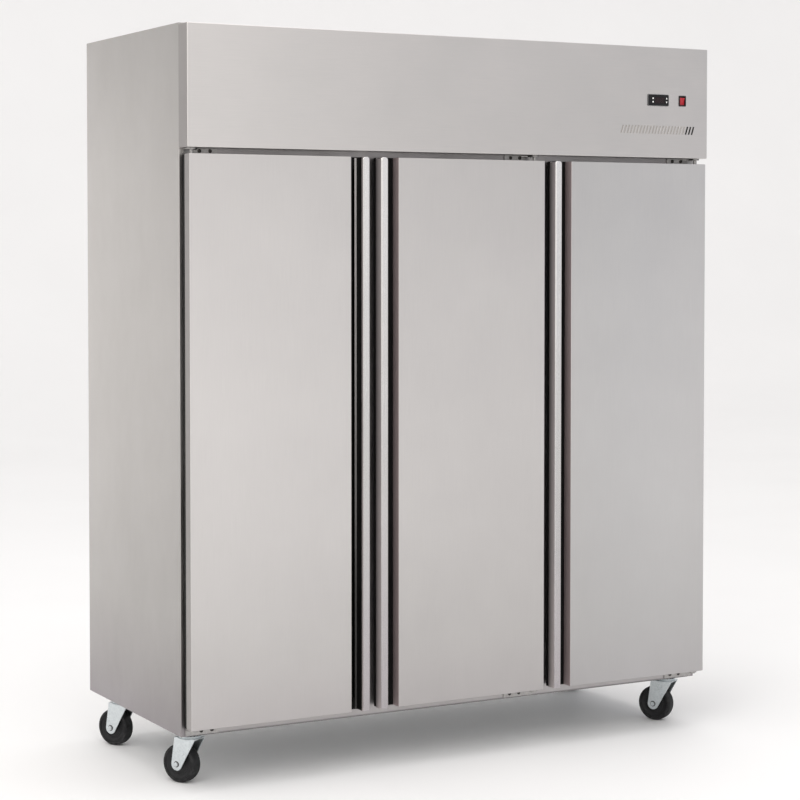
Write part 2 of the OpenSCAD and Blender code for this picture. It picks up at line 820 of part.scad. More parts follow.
// The point where a line from p touches a circle: turn is 1 or -1 for the two sides
function touch(p, c, r, turn) =
  let (d = c - p, a = atan2(d.y, d.x), b = asin(r / norm(d)), reach = sqrt(d * d - r * r))
  p + reach * [cos(a + turn * b), sin(a + turn * b)];

module leg_outline() {
  axle = [trail, wheel_r];
  front = [-32, yoke_z + 4];
  rear = [35, yoke_z + 4];
  r = 17;
  polygon([front, touch(front, axle, r, -1), axle, touch(rear, axle, r, 1), rear]);
  translate(axle) circle(r = r);
}

module caster_fork() {
  width = fork_in + fork_t;
  color(zinc) {
    difference() {
      union() {
        for (x = [-width, fork_in]) translate([x, 0, 0])
          rotate([90, 0, 90]) linear_extrude(fork_t) leg_outline();
        translate([0, 0, yoke_z]) cylinder(h = 4, r = 33);
        block([-width, -32, yoke_z], [width, 35, yoke_z + 4]);
        translate([0, 0, yoke_z + 3]) cylinder(h = caster_h - 9.3 - yoke_z - 3, r = race_r - 1);
      }
      translate([0, 0, yoke_z - 1]) cylinder(h = 30, r = axle_r + running);
      translate([-50, trail, wheel_r]) rotate([0, 90, 0]) cylinder(h = 100, r = axle_r + 0.2);
    }
    // Axle bolt with its head and nut
    translate([0, trail, wheel_r]) rotate([0, 90, 0]) {
      translate([0, 0, -width - 0.05]) cylinder(h = 2 * width + 0.1, r = axle_r);
      for (z = [-width - 5.05, width + 0.05])
        translate([0, 0, z]) cylinder(h = 5, r = 9, $fn = 6);
    }
  }
}

module caster_wheel() {
  hub_half = tread_w / 2 + 2.7;
  edge = 5;
  color(black) translate([0, trail, wheel_r]) rotate([0, 90, 0]) difference() {
    union() {
      translate([0, 0, -hub_half]) cylinder(h = 2 * hub_half, r = 14);
      rotate_extrude() difference() {
        union() {
          translate([0, -tread_w / 2]) square([wheel_r - edge, tread_w]);
          translate([0, -tread_w / 2 + edge]) square([wheel_r, tread_w - 2 * edge]);
          for (z = [-1, 1]) translate([wheel_r - edge, z * (tread_w / 2 - edge)]) circle(r = edge);
        }
        for (z = [-1, 1]) translate([28, z * tread_w / 2]) circle(r = 6);
      }
    }
    translate([0, 0, -hub_half - 1]) cylinder(h = 2 * hub_half + 2, r = axle_r + running);
  }
}

module at_caster(side, row) {
  translate([side * caster_x, caster_y[row], 0]) rotate([0, 0, caster_turn]) children();
}

module caster_fork_front_left() at_caster(-1, 0) caster_fork();
module caster_fork_front_right() at_caster(1, 0) caster_fork();
module caster_fork_rear_left() at_caster(-1, 1) caster_fork();
module caster_fork_rear_right() at_caster(1, 1) caster_fork();
module caster_wheel_front_left() at_caster(-1, 0) caster_wheel();
module caster_wheel_front_right() at_caster(1, 0) caster_wheel();
module caster_wheel_rear_left() at_caster(-1, 1) caster_wheel();
module caster_wheel_rear_right() at_caster(1, 1) caster_wheel();

side_panel_left();
side_panel_right();
back_panel();
base_panel();
roof_panel();
cabinet_insulation();
inner_liner();
face_frame();
mullions();
header_panel();
controller();
key_set();
key_defrost();
key_up();
key_down();
switch_housing();
switch_rocker();
unit_base();
compressor();
condenser();
condenser_fan();
refrigerant_pipes();
electrical_box();
evaporator_coil();
evaporator_housing();
evaporator_fan_left();
evaporator_fan_right();
shelf_rails();
shelves_left();
shelves_middle();
shelves_right();
hinge_brackets_top();
hinge_brackets_bottom();
caster_plates();
caster_fork_front_left();
caster_fork_front_right();
caster_fork_rear_left();
caster_fork_rear_right();
caster_wheel_front_left();
caster_wheel_front_right();
caster_wheel_rear_left();
caster_wheel_rear_right();
door_skin_left();
door_core_left();
door_frame_left();
door_liner_left();
door_gasket_left();
door_handle_left();
door_skin_middle();
door_core_middle();
door_frame_middle();
door_liner_middle();
door_gasket_middle();
door_handle_middle();
door_skin_right();
door_core_right();
door_frame_right();
door_liner_right();
door_gasket_right();
door_handle_right();
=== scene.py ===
import json
import math

import bmesh
import bpy
from mathutils import Matrix, Vector


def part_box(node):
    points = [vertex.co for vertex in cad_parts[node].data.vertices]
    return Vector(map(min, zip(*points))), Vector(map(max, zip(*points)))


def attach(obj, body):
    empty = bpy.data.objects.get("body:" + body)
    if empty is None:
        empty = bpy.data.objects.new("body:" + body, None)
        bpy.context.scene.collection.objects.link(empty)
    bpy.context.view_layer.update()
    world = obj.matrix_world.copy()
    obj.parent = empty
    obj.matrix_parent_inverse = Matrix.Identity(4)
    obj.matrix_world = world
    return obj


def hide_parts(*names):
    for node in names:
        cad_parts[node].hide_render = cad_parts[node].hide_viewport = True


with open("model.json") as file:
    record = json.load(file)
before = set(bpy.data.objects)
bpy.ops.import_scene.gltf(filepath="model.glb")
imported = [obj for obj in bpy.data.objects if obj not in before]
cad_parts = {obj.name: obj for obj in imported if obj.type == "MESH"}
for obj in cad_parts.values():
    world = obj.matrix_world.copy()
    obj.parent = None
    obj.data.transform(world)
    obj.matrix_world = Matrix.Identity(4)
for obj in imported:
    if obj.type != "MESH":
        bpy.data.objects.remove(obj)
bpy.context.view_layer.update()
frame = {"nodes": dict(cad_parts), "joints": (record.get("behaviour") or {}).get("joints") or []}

# Every mesh is built in millimetres in the frame's axes, and finish_piece() turns it into metres.
MM = 0.001
SHEET = 0.8
SIDES = ("left", "middle", "right")
CORNERS = ("front_left", "front_right", "rear_left", "rear_right")
JOINTS = {j["name"]: j for j in frame["joints"]}


# ---------------------------------------------------------------- materials

class Nodes:
    """Short calls for building one material's node tree."""

    def __init__(self, name):
        self.material = bpy.data.materials.new(name)
        self.material.use_nodes = True
        self.tree = self.material.node_tree
        self.shader = self.tree.nodes["Principled BSDF"]
        self.place = self.add("ShaderNodeTexCoord").outputs["Object"]

    def add(self, kind, **values):
        node = self.tree.nodes.new(kind)
        for key, value in values.items():
            setattr(node, key, value)
        return node

    def link(self, out, into):
        self.tree.links.new(out, into)

    def stretched(self, scale):
        """Object coordinates scaled apart, so that a pattern runs along one direction."""
        mapping = self.add("ShaderNodeMapping")
        mapping.inputs["Scale"].default_value = scale
        self.link(self.place, mapping.inputs["Vector"])
        return mapping.outputs["Vector"]

    def noise(self, vector, scale, detail=3.0, rough=0.55):
        node = self.add("ShaderNodeTexNoise")
        node.inputs["Scale"].default_value = scale
        node.inputs["Detail"].default_value = detail
        node.inputs["Roughness"].default_value = rough
        self.link(vector, node.inputs["Vector"])
        return node.outputs["Fac"]

    def remap(self, value, low, high, old_low=0.3, old_high=0.7):
        node = self.add("ShaderNodeMapRange")
        for key, number in (("From Min", old_low), ("From Max", old_high), ("To Min", low), ("To Max", high)):
            node.inputs[key].default_value = number
        self.link(value, node.inputs["Value"])
        return node.outputs["Result"]

    def mix(self, factor, first, second):
        """A colour between two colours, each a tuple or a socket."""
        node = self.add("ShaderNodeMix", data_type="RGBA")
        self.link(factor, node.inputs["Factor"])
        for key, colour in (("A", first), ("B", second)):
            socket = [s for s in node.inputs if s.name == key and s.type == "RGBA"][0]
            if isinstance(colour, tuple):
                socket.default_value = (*colour, 1)
            else:
                self.link(colour, socket)
        return [s for s in node.outputs if s.type == "RGBA"][0]

    def math(self, operation, first, second):
        node = self.add("ShaderNodeMath", operation=operation)
        for socket, value in zip(node.inputs, (first, second)):
            if isinstance(value, (int, float)):
                socket.default_value = value
            else:
                self.link(value, socket)
        return node.outputs["Value"]

    def bump(self, height, strength, distance):
        node = self.add("ShaderNodeBump")
        node.inputs["Strength"].default_value = strength
        node.inputs["Distance"].default_value = distance
        self.link(height, node.inputs["Height"])
        self.link(node.outputs["Normal"], self.shader.inputs["Normal"])

    def worn_edges(self, width):
        """1 within a width of the shape's edges, broken up by a noise, and 0 on its flats."""
        soft = self.add("ShaderNodeBevel", samples=3)
        soft.inputs["Radius"].default_value = width
        plain = self.add("ShaderNodeNewGeometry").outputs["Normal"]
        dot = self.add("ShaderNodeVectorMath", operation="DOT_PRODUCT")
        self.link(soft.outputs["Normal"], dot.inputs[0])
        self.link(plain, dot.inputs[1])
        edge = self.remap(dot.outputs["Value"], 1.0, 0.0, 0.80, 0.985)
        return self.math("MULTIPLY", edge, self.remap(self.noise(self.place, 45.0, 4.0, 0.6), 0.25, 1.0))

    def faded(self, colour, stops, axis="Z"):
        """A colour multiplied by a factor that changes along an axis; stops are (metres, factor)."""
        low, high = stops[0][0], stops[-1][0]
        split = self.add("ShaderNodeSeparateXYZ")
        self.link(self.place, split.inputs["Vector"])
        ramp = self.add("ShaderNodeValToRGB")
        self.link(self.remap(split.outputs[axis], 0, 1, low, high), ramp.inputs["Fac"])
        points = ramp.color_ramp.elements
        while len(points) < len(stops):
            points.new(0.5)
        for point, (place, factor) in zip(points, stops):
            point.position = (place - low) / (high - low)
            point.color = (*(factor if isinstance(factor, tuple) else (factor,) * 3), 1)
        node = self.add("ShaderNodeMix", data_type="RGBA", blend_type="MULTIPLY")
        node.inputs["Factor"].default_value = 1.0
        first, second = [s for s in node.inputs if s.type == "RGBA"][:2]
        self.link(colour, first)
        self.link(ramp.outputs["Color"], second)
        return [s for s in node.outputs if s.type == "RGBA"][0]

    def set(self, **values):
        for key, value in values.items():
            socket = self.shader.inputs[key.replace("_", " ")]
            if hasattr(value, "links"):
                self.link(value, socket)
            else:
                socket.default_value = (*value, 1) if isinstance(value, tuple) else value


def lighter(colour, factor, more=0.0):
    return tuple(min(1.0, c * factor + more) for c in colour)


def brushed_steel(name, light, dark, rough, grain, waviness=0.12, metal=1.0, painted_light_z=None, painted_light_y=None,
                  across=None, wear=0.0015):
    """Stainless sheet: fine scratches along the grain, cloudy smears, rubbed edges and a faint buckle. The
    optional ramps along Z, Y and X multiply its colour: painted shade and painted reflection.
    """
    n = Nodes(name)
    fine = n.noise(n.stretched(grain), 900.0, 2.0)
    broad = n.noise(n.stretched(tuple(0.5 + 0.5 * g for g in grain)), 14.0, 4.0)
    smear = n.noise(n.place, 2.6, 5.0, 0.6)
    tone = n.math("ADD", n.math("MULTIPLY", fine, 0.45), n.math("MULTIPLY", smear, 0.55))
    colour = n.mix(n.remap(tone, 0, 1), dark, light)
    if wear:
        colour = n.mix(n.worn_edges(wear), colour, lighter(light, 1.18))
    # painted light: the ramps along Z, Y and X darken or tint the steel where shade or reflections of the
    # surroundings fall on it
    if painted_light_z:
        colour = n.faded(colour, painted_light_z)
    if painted_light_y:
        colour = n.faded(colour, painted_light_y, "Y")
    if across:
        colour = n.faded(colour, across, "X")
    n.set(Base_Color=colour, Metallic=metal,
          Roughness=n.remap(n.math("ADD", fine, broad), rough - 0.05, rough + 0.07, 0.7, 1.3))
    buckle = n.noise(n.place, 1.7, 1.0)
    height = n.math("ADD", n.math("MULTIPLY", fine, 0.006), n.math("MULTIPLY", buckle, waviness * 4))
    n.bump(height, 0.3, 0.002)
    return n.material


def plastic(name, colour, rough, grain=1400.0, depth=0.05, spec=0.5):
    """Moulded plastic with a fine spark-eroded grain and slightly uneven gloss."""
    n = Nodes(name)
    dust = n.noise(n.place, 22.0, 4.0)
    pale = lighter(colour, 1.25, 0.004)
    rubbed = lighter(colour, 1.5, 0.01)
    n.set(Base_Color=n.mix(n.worn_edges(0.0006), n.mix(n.remap(dust, 0, 1), colour, pale), rubbed),
          Roughness=n.remap(dust, rough - 0.05, rough + 0.08), Specular_IOR_Level=spec)
    n.bump(n.noise(n.place, grain, 2.0), depth, 0.0004)
    return n.material


def zinc_plate(name, light, dark, rough=0.32):
    """Zinc plating: small crystals and a cloudy blue-grey sheen."""
    n = Nodes(name)
    cells = n.add("ShaderNodeTexVoronoi")
    cells.inputs["Scale"].default_value = 160.0
    n.link(n.place, cells.inputs["Vector"])
    cloud = n.noise(n.place, 30.0, 5.0)
    tone = n.math("ADD", n.math("MULTIPLY", cells.outputs["Distance"], 0.5), n.math("MULTIPLY", cloud, 0.8))
    worn = lighter(light, 1.15)
    n.set(Base_Color=n.mix(n.worn_edges(0.0008), n.mix(n.remap(tone, 0, 1, 0.35, 0.85), dark, light), worn),
          Metallic=1.0, Roughness=n.remap(cloud, rough - 0.06, rough + 0.1))
    n.bump(cloud, 0.12, 0.0005)
    return n.material


def rubber(name, colour, rough=0.75):
    n = Nodes(name)
    dust = n.noise(n.place, 60.0, 5.0, 0.65)
    dusty = lighter(colour, 1.0, 0.035)
    n.set(Base_Color=n.mix(n.remap(dust, 0, 1, 0.4, 0.75), colour, dusty),
          Roughness=n.remap(dust, rough - 0.1, rough + 0.1), Specular_IOR_Level=0.35)
    n.bump(n.noise(n.place, 700.0, 3.0), 0.2, 0.0005)
    return n.material


def foam(name):
    n = Nodes(name)
    cells = n.noise(n.place, 500.0, 6.0, 0.7)
    n.set(Base_Color=n.mix(n.remap(cells, 0, 1), (0.70, 0.58, 0.30), (0.86, 0.77, 0.50)), Roughness=0.9)
    n.bump(cells, 0.6, 0.001)
    return n.material


def painted(name, colour, rough, peel=0.15):
    """Enamel with orange peel and a little dust."""
    n = Nodes(name)
    dust = n.noise(n.place, 9.0, 6.0, 0.65)
    pale = lighter(colour, 1.3, 0.01)
    n.set(Base_Color=n.mix(n.remap(dust, 0, 1), colour, pale), Roughness=n.remap(dust, rough, rough + 0.15),
          Coat_Weight=0.3, Coat_Roughness=0.15)
    n.bump(n.noise(n.place, 220.0, 1.0), peel, 0.0005)
    return n.material


def copper(name):
    n = Nodes(name)
    tarnish = n.noise(n.place, 18.0, 5.0, 0.6)
    n.set(Base_Color=n.mix(n.remap(tarnish, 0, 1), (0.78, 0.42, 0.27), (0.48, 0.24, 0.15)), Metallic=1.0,
          Roughness=n.remap(tarnish, 0.22, 0.42))
    n.bump(n.noise(n.place, 90.0, 2.0), 0.08, 0.0005)
    return n.material


UPRIGHT = (1.0, 1.0, 0.012)
ACROSS = (0.012, 1.0, 1.0)
# Side and back panels: darker and bluer towards the bottom, darker at the top and towards the front edge:
# painted shade and painted reflection
STEEL_SIDE = brushed_steel(
    "side_steel", (0.685, 0.663, 0.642), (0.61, 0.589, 0.567), 0.36, UPRIGHT,
    painted_light_z=[(0.14, (0.52, 0.50, 0.535)), (0.22, (0.57, 0.555, 0.575)), (0.45, 0.75), (0.80, 0.92), (1.2, 1.0),
          (1.6, 0.97), (1.99, 0.79)],
    painted_light_y=[(-0.32, 0.84), (0.05, 0.925), (0.364, 1.0)])
# Door faces: darker and bluer towards the bottom, a little darker at the top, and darker and cooler-tinted
# towards the right-hand door: painted shade and painted reflection
STEEL_DOOR = brushed_steel(
    "door_steel", (0.724, 0.703, 0.687), (0.66, 0.639, 0.628), 0.36, UPRIGHT,
    painted_light_z=[(0.166, (0.72, 0.71, 0.72)), (0.35, 0.80), (0.65, 0.93), (0.95, 1.0), (1.30, 1.0), (1.653, 0.95)],
    across=[(-0.82, 1.0), (-0.59, 0.975), (-0.385, 0.962), (-0.19, 0.922), (0.24, 0.908),
            (0.375, (0.858, 0.872, 0.880)), (0.58, (0.886, 0.902, 0.914)), (0.82, (0.912, 0.924, 0.934))])
# Header: darker from left to right: painted reflection of the surroundings
STEEL_HEADER = brushed_steel(
    "header_steel", (0.7315, 0.704, 0.6875), (0.66, 0.6435, 0.627), 0.36, ACROSS,
    across=[(-0.82, 1.0), (-0.50, 0.945), (-0.20, 0.885), (0.11, 0.87), (0.82, 0.875)])
# Slot pockets: a darker copy of the header steel, painted shade inside the pressed pockets
STEEL_SLOT_SHADED = brushed_steel("slot_shaded_steel", (0.53, 0.505, 0.48), (0.46, 0.44, 0.42), 0.42, ACROSS, 0.02)
# Folded returns that look along X: a darker copy of the sheet steel, painted shade on the sides
STEEL_RETURN_SHADED = brushed_steel("return_shaded_steel", (0.38, 0.36, 0.35), (0.325, 0.31, 0.305), 0.45, UPRIGHT, 0.02,
                             0.85)
# Face frame and posts: a near-black band along the bottom 2.5 mm, a painted shadow line, and darker towards
# the top under the header, painted shade
STEEL_FRAME = brushed_steel(
    "frame_steel", (0.46, 0.44, 0.44), (0.40, 0.385, 0.385), 0.4, ACROSS, 0.02,
    painted_light_z=[(0.14, 0.3), (0.1425, 0.93), (0.5, 0.9), (1.60, 0.78), (1.67, 0.78)])
# Pull bar fronts: darker and lilac towards the bottom: painted shade and painted reflection
STEEL_BAR = brushed_steel(
    "bar_steel", (0.86, 0.85, 0.835), (0.78, 0.77, 0.76), 0.24, UPRIGHT, 0.02,
    painted_light_z=[(0.166, (0.50, 0.475, 0.50)), (0.40, (0.58, 0.56, 0.58)), (0.80, 0.74), (1.20, 0.90), (1.653, 1.0)])
# Pull bar sides: a brownish, darker copy of the bar steel, darker towards the top and much darker further
# back: painted shade
BAR_SIDE_SHADED = brushed_steel(
    "bar_side_shaded_steel", (0.62, 0.56, 0.56), (0.54, 0.49, 0.49), 0.45, UPRIGHT, 0.02, 0.3,
    painted_light_z=[(0.166, 1.0), (0.60, 0.9), (1.0, 0.80), (1.653, 0.76)],
                         painted_light_y=[(-0.364, 1.0), (-0.350, 0.85), (-0.333, 0.35)])
# Groove walls: a brownish, darker copy of the door steel, painted shade inside the grip groove
STEEL_GROOVE_SHADED = brushed_steel("groove_shaded_steel", (0.36, 0.29, 0.29), (0.29, 0.23, 0.235), 0.5, UPRIGHT, 0.02, 0.2)
# The strip at the pull bar's foot: pale at the top and fading to near black at the bottom, a painted
# highlight line
STEEL_FOOT_HIGHLIGHT = brushed_steel(
    "foot_steel", (0.80, 0.77, 0.76), (0.72, 0.70, 0.69), 0.5, UPRIGHT, 0.02, 0.1,
    painted_light_z=[(0.166, 0.08), (0.50, 0.14), (1.0, 0.55), (1.653, 1.0)])
STEEL_LINER = brushed_steel("liner_steel", (0.76, 0.76, 0.75), (0.68, 0.68, 0.67), 0.34, UPRIGHT)
GALVANISED = zinc_plate("galvanised_sheet", (0.62, 0.63, 0.63), (0.45, 0.46, 0.47), 0.4)
ZINC = zinc_plate("zinc_plate", (0.66, 0.70, 0.715), (0.56, 0.60, 0.62), 0.3)
HINGE = zinc_plate("hinge_zinc", (0.42, 0.41, 0.40), (0.32, 0.31, 0.305), 0.4)
CHROME = zinc_plate("bright_wire", (0.86, 0.87, 0.88), (0.76, 0.77, 0.78), 0.16)
SCREW_DARK = zinc_plate("dark_screw", (0.10, 0.095, 0.09), (0.05, 0.045, 0.045), 0.4)
BLACK = plastic("black_plastic", (0.0045, 0.004, 0.004), 0.55, spec=0.12)
BLACK_GLOSS = plastic("gloss_black", (0.004, 0.004, 0.0045), 0.14, depth=0.02, spec=0.35)
DARK_WINDOW = plastic("display_window", (0.008, 0.003, 0.004), 0.06, depth=0.0, spec=0.3)
UNLIT_DIGIT = plastic("unlit_digit", (0.016, 0.005, 0.006), 0.3, depth=0.0)
WHITE_MARK = plastic("white_mark", (0.80, 0.80, 0.78), 0.45, depth=0.02)
PALE_RIM = plastic("pale_rim", (0.30, 0.30, 0.30), 0.35, depth=0.02)
RED = plastic("rocker_red", (0.36, 0.009, 0.018), 0.22, depth=0.02)
GASKET = rubber("gasket_rubber", (0.035, 0.035, 0.036), 0.6)
FILTER = rubber("filter_pad", (0.006, 0.006, 0.006), 0.9)
TYRE = rubber("tyre_rubber", (0.007, 0.007, 0.008))
HUB = plastic("hub_plastic", (0.009, 0.009, 0.010), 0.5, depth=0.15, spec=0.3)
FOAM = foam("foam")
COMPRESSOR = painted("compressor_enamel", (0.012, 0.012, 0.013), 0.25)
SHROUD = painted("shroud_enamel", (0.03, 0.032, 0.033), 0.45)
BOX_GREY = plastic("box_grey", (0.52, 0.53, 0.53), 0.5, depth=0.15)
FAN = plastic("fan_plastic", (0.03, 0.03, 0.032), 0.45)
ALUMINIUM = brushed_steel("fin_aluminium", (0.80, 0.81, 0.82), (0.70, 0.71, 0.72), 0.35, ACROSS, 0.0, wear=0)
COPPER = copper("copper_tube")


# ---------------------------------------------------------------- mesh tools

def finish_piece(name, bm, materials, body, nodes=(), sheet=0.0, out=None, smooth=38):
    """Turns a bmesh into a piece that rides on a body and stands for the CAD nodes named.

    For an open sheet, out is the direction that its largest face looks in, and sheet the thickness behind it.
    """
    bmesh.ops.remove_doubles(bm, verts=bm.verts, dist=1e-4)
    bmesh.ops.recalc_face_normals(bm, faces=bm.faces)
    if out is not None:
        largest = max(bm.faces, key=lambda f: f.calc_area())
        if largest.normal.dot(Vector(out)) < 0:
            bmesh.ops.reverse_faces(bm, faces=bm.faces)
    bmesh.ops.scale(bm, verts=bm.verts, vec=(MM, MM, MM))
    mesh = bpy.data.meshes.new(name)
    bm.to_mesh(mesh)
    bm.free()
    for material in materials if isinstance(materials, (list, tuple)) else [materials]:
        mesh.materials.append(material)
    mesh.shade_smooth()
    mesh.set_sharp_from_angle(angle=math.radians(smooth))
    piece = bpy.data.objects.new(name, mesh)
    bpy.context.scene.collection.objects.link(piece)
    if sheet:
        solid = piece.modifiers.new("thickness", "SOLIDIFY")
        solid.thickness = sheet * MM
        solid.offset = -1
    weighted = piece.modifiers.new("normals", "WEIGHTED_NORMAL")
    weighted.keep_sharp = True
    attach(piece, body)
    if nodes:
        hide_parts(*nodes)
    return piece


def mark_returns(bm, index, least=0.7):
    """Gives the faces that look along X the material of that index; the callers give them a darker copy of
    the steel, painted shade.
    """
    bm.normal_update()
    for face in bm.faces:
        if abs(face.normal.x) > least:
            face.material_index = index


def merge(target, source, index=0, place=None):
    """Adds source's faces to target, with the material of that index, and frees source."""
    if place is not None:
        source.transform(place)
    if index is not None:
        for face in source.faces:
            face.material_index = index
    mesh = bpy.data.meshes.new("part")
    source.to_mesh(mesh)
    source.free()
    target.from_mesh(mesh)
    bpy.data.meshes.remove(mesh)
    return target


def box(low, high, round_by=0.0, segments=2):
    """A box with rounded edges."""
    bm = bmesh.new()
    bmesh.ops.create_cube(bm, size=1)
    for v in bm.verts:
        v.co = Vector(l if c < 0 else h for c, l, h in zip(v.co, low, high))
    if round_by:
        bmesh.ops.bevel(bm, geom=bm.edges[:], offset=round_by, segments=segments, profile=0.5, affect="EDGES")
    return bm


def prism(outline, height, round_by=0.0, segments=2):
    """An outline in XY raised by height, with its two ends' edges rounded."""
    bm = bmesh.new()
    bottom = bm.faces.new([bm.verts.new((x, y, 0)) for x, y in outline])
    top = bmesh.ops.extrude_face_region(bm, geom=[bottom])["geom"]
    bmesh.ops.translate(bm, verts=[g for g in top if isinstance(g, bmesh.types.BMVert)], vec=(0, 0, height))
    bmesh.ops.recalc_face_normals(bm, faces=bm.faces)
    if round_by:
        edges = [e for e in bm.edges if abs(e.verts[0].co.z - e.verts[1].co.z) < 1e-9]
        bmesh.ops.bevel(bm, geom=edges, offset=round_by, segments=segments, profile=0.5, affect="EDGES")
    return bm


def strip(path, heights):
    """An open or closed path in XY drawn up through z; heights gives each point's (low, high)."""
    bm = bmesh.new()
    low = [bm.verts.new((p[0], p[1], h[0])) for p, h in zip(path, heights)]
    high = [bm.verts.new((p[0], p[1], h[1])) for p, h in zip(path, heights)]
    for i in range(len(path) - 1):
        bm.faces.new((low[i], low[i + 1], high[i + 1], high[i]))
    return bm


def arc(centre, radius, start, stop, count):
    """Points on a circle from one angle to another, in degrees."""
    angles = [math.radians(start + (stop - start) * i / count) for i in range(count + 1)]
    return [(centre[0] + radius * math.cos(a), centre[1] + radius * math.sin(a)) for a in angles]


def circle(centre, radius, count=24):
    return arc(centre, radius, 0, 360 - 360 / count, count - 1)


def rect(x0, y0, x1, y1):
    return [(x0, y0), (x1, y0), (x1, y1), (x0, y1)]


def raised(outline, z):
    return [(x, y, z) for x, y in outline]


def round_rect(x0, y0, x1, y1, r, count=5):
    """A rectangle's outline with round corners, anticlockwise."""
    corners = ((x1 - r, y0 + r, -90), (x1 - r, y1 - r, 0), (x0 + r, y1 - r, 90), (x0 + r, y0 + r, 180))
    return [p for cx, cy, a in corners for p in arc((cx, cy), r, a, a + 90, count)]


def loft(loops, cap_first=False, cap_last=False, closed=True):
    """Faces between successive loops of the same number of points, each point an (x, y, z)."""
    bm = bmesh.new()
    rows = [[bm.verts.new(p) for p in loop] for loop in loops]
    count = len(rows[0])
    for a, b in zip(rows, rows[1:]):
        for i in range(count if closed else count - 1):
            j = (i + 1) % count
            bm.faces.new((a[i], a[j], b[j], b[i]))
    if cap_first:
        bm.faces.new(rows[0])
    if cap_last:
        bm.faces.new(rows[-1])
    return bm


def lathe(profile, count=48):
    """A profile of (radius, z) turned about Z. A point with radius 0 closes it there."""
    bm = bmesh.new()
    rows = []
    for radius, z in profile:
        if radius < 1e-7:
            rows.append([bm.verts.new((0, 0, z))] * count)
        else:
            rows.append([bm.verts.new((radius * math.cos(math.tau * i / count),
                                       radius * math.sin(math.tau * i / count), z)) for i in range(count)])
    for a, b in zip(rows, rows[1:]):
        for i in range(count):
            j = (i + 1) % count
            corners = list(dict.fromkeys((a[i], a[j], b[j], b[i])))
            if len(corners) > 2:
                bm.faces.new(corners)
    return bm


def bent(points, bend, count=6):
    """A polyline with each corner rounded to the radius bend."""
    points = [Vector(p) for p in points]
    path = [points[0]]
    for before, here, after in zip(points, points[1:], points[2:]):
        a, b = (before - here).normalized(), (after - here).normalized()
        half = a.angle(b) / 2
        reach = min(bend / math.tan(half), 0.48 * (before - here).length, 0.48 * (after - here).length)
        radius = reach * math.tan(half)
        centre = here + (a + b).normalized() * (radius / math.sin(half))
        first, last = here + a * reach - centre, here + b * reach - centre
        swing = first.angle(last)
        for i in range(count + 1):
            t = i / count
            blend = first * math.sin((1 - t) * swing) + last * math.sin(t * swing)
            path.append(centre + blend / math.sin(swing))
    path.append(points[-1])
    return path


def tube(path, radius, count=10, closed=False):
    """A round bar along a path."""
    bm = bmesh.new()
    path = [Vector(p) for p in path]
    last = len(path) - 1
    turns = [math.tau * k / count for k in range(count)]
    side, rows = None, []
    for i, p in enumerate(path):
        ahead = path[(i + 1) % len(path)] if closed else path[min(i + 1, last)]
        behind = path[i - 1] if closed or i else path[0]
        way = (ahead - behind).normalized()
        if side is None:
            side = way.orthogonal().normalized()
        side = (side - way * side.dot(way)).normalized()
        other = way.cross(side)
        rows.append([bm.verts.new(p + radius * (side * math.cos(a) + other * math.sin(a))) for a in turns])
    pairs = list(zip(rows, rows[1:])) + ([(rows[-1], rows[0])] if closed else [])
    for a, b in pairs:
        for k in range(count):
            j = (k + 1) % count
            bm.faces.new((a[k], a[j], b[j], b[k]))
    if not closed:
        bm.faces.new(rows[0])
        bm.faces.new(rows[-1])
    return bm


def along(direction, spot=(0, 0, 0)):
    """The matrix that turns +Z to a direction and moves the origin to a point."""
    turn = Vector((0, 0, 1)).rotation_difference(Vector(direction))
    return Matrix.Translation(Vector(spot)) @ turn.to_matrix().to_4x4()


def screw(radius, height):
    """A domed screw head on +Z with a cross recess, drawn as a thin raised cross in a second material; where
    that material is dark, it is painted shade of the recess.
    """
    bm = lathe([(radius * 0.98, 0), (radius, height * 0.25), (radius * 0.93, height * 0.6),
                (radius * 0.66, height * 0.9), (radius * 0.3, height), (0, height)], 24)
    low, high = (-radius * 0.55, -radius * 0.12, height * 0.86), (radius * 0.55, radius * 0.12, height * 1.02)
    for turn in (20, 110):
        merge(bm, box(low, high, radius * 0.03, 1), 1, turned(turn, "Z"))
    return bm


def hex_head(radius, height):
    """A hexagon head on +Z with a chamfered crown."""
    corners = [(radius * math.cos(math.radians(60 * i)),
                radius * math.sin(math.radians(60 * i))) for i in range(6)]
    bm = prism(corners, height * 0.88, height * 0.08, 1)
    merge(bm, lathe([(0, height * 0.86), (radius * 0.84, height * 0.86), (radius * 0.78, height),
                     (0, height)], 24))
    return bm


def moulded(sides, profile, corner, capped=(False, False), count=5):
    """A round-cornered rectangle drawn along a profile of (inset, z).

    Equal first and last points close the ring.
    """
    x0, y0, x1, y1 = sides
    loops = [raised(round_rect(x0 + inset, y0 + inset, x1 - inset, y1 - inset, max(corner - inset, 0.05),
                               count), z)
             for inset, z in profile]
    return loft(loops, *capped)


def fold(radius, count=4):
    """Profile points for a fold: a quarter round from a face at z 0 up to a wall."""
    angles = [math.radians(90 * i / count) for i in range(count + 1)]
    return [(radius * (1 - math.sin(a)), radius * (1 - math.cos(a))) for a in angles]


def pan(sides, depth, radius, corner):
    """A folded tray of sheet: its face at z 0, its walls up to depth, open on top."""
    inner = shifted(fold(max(radius - SHEET, 0.1)), (SHEET, SHEET))
    profile = fold(radius) + [(0, depth), (SHEET, depth)] + inner[::-1]
    return moulded(sides, profile, corner, (True, True))


def filled(outline, holes, z=0.0):
    """A flat sheet at z with holes in it, as open faces."""
    bm = bmesh.new()
    edges = []
    for ring in [outline] + list(holes):
        verts = [bm.verts.new((x, y, z)) for x, y in ring]
        edges += [bm.edges.new((a, b)) for a, b in zip(verts, verts[1:] + verts[:1])]
    bmesh.ops.triangle_fill(bm, use_beauty=True, use_dissolve=False, edges=edges)
    return bm


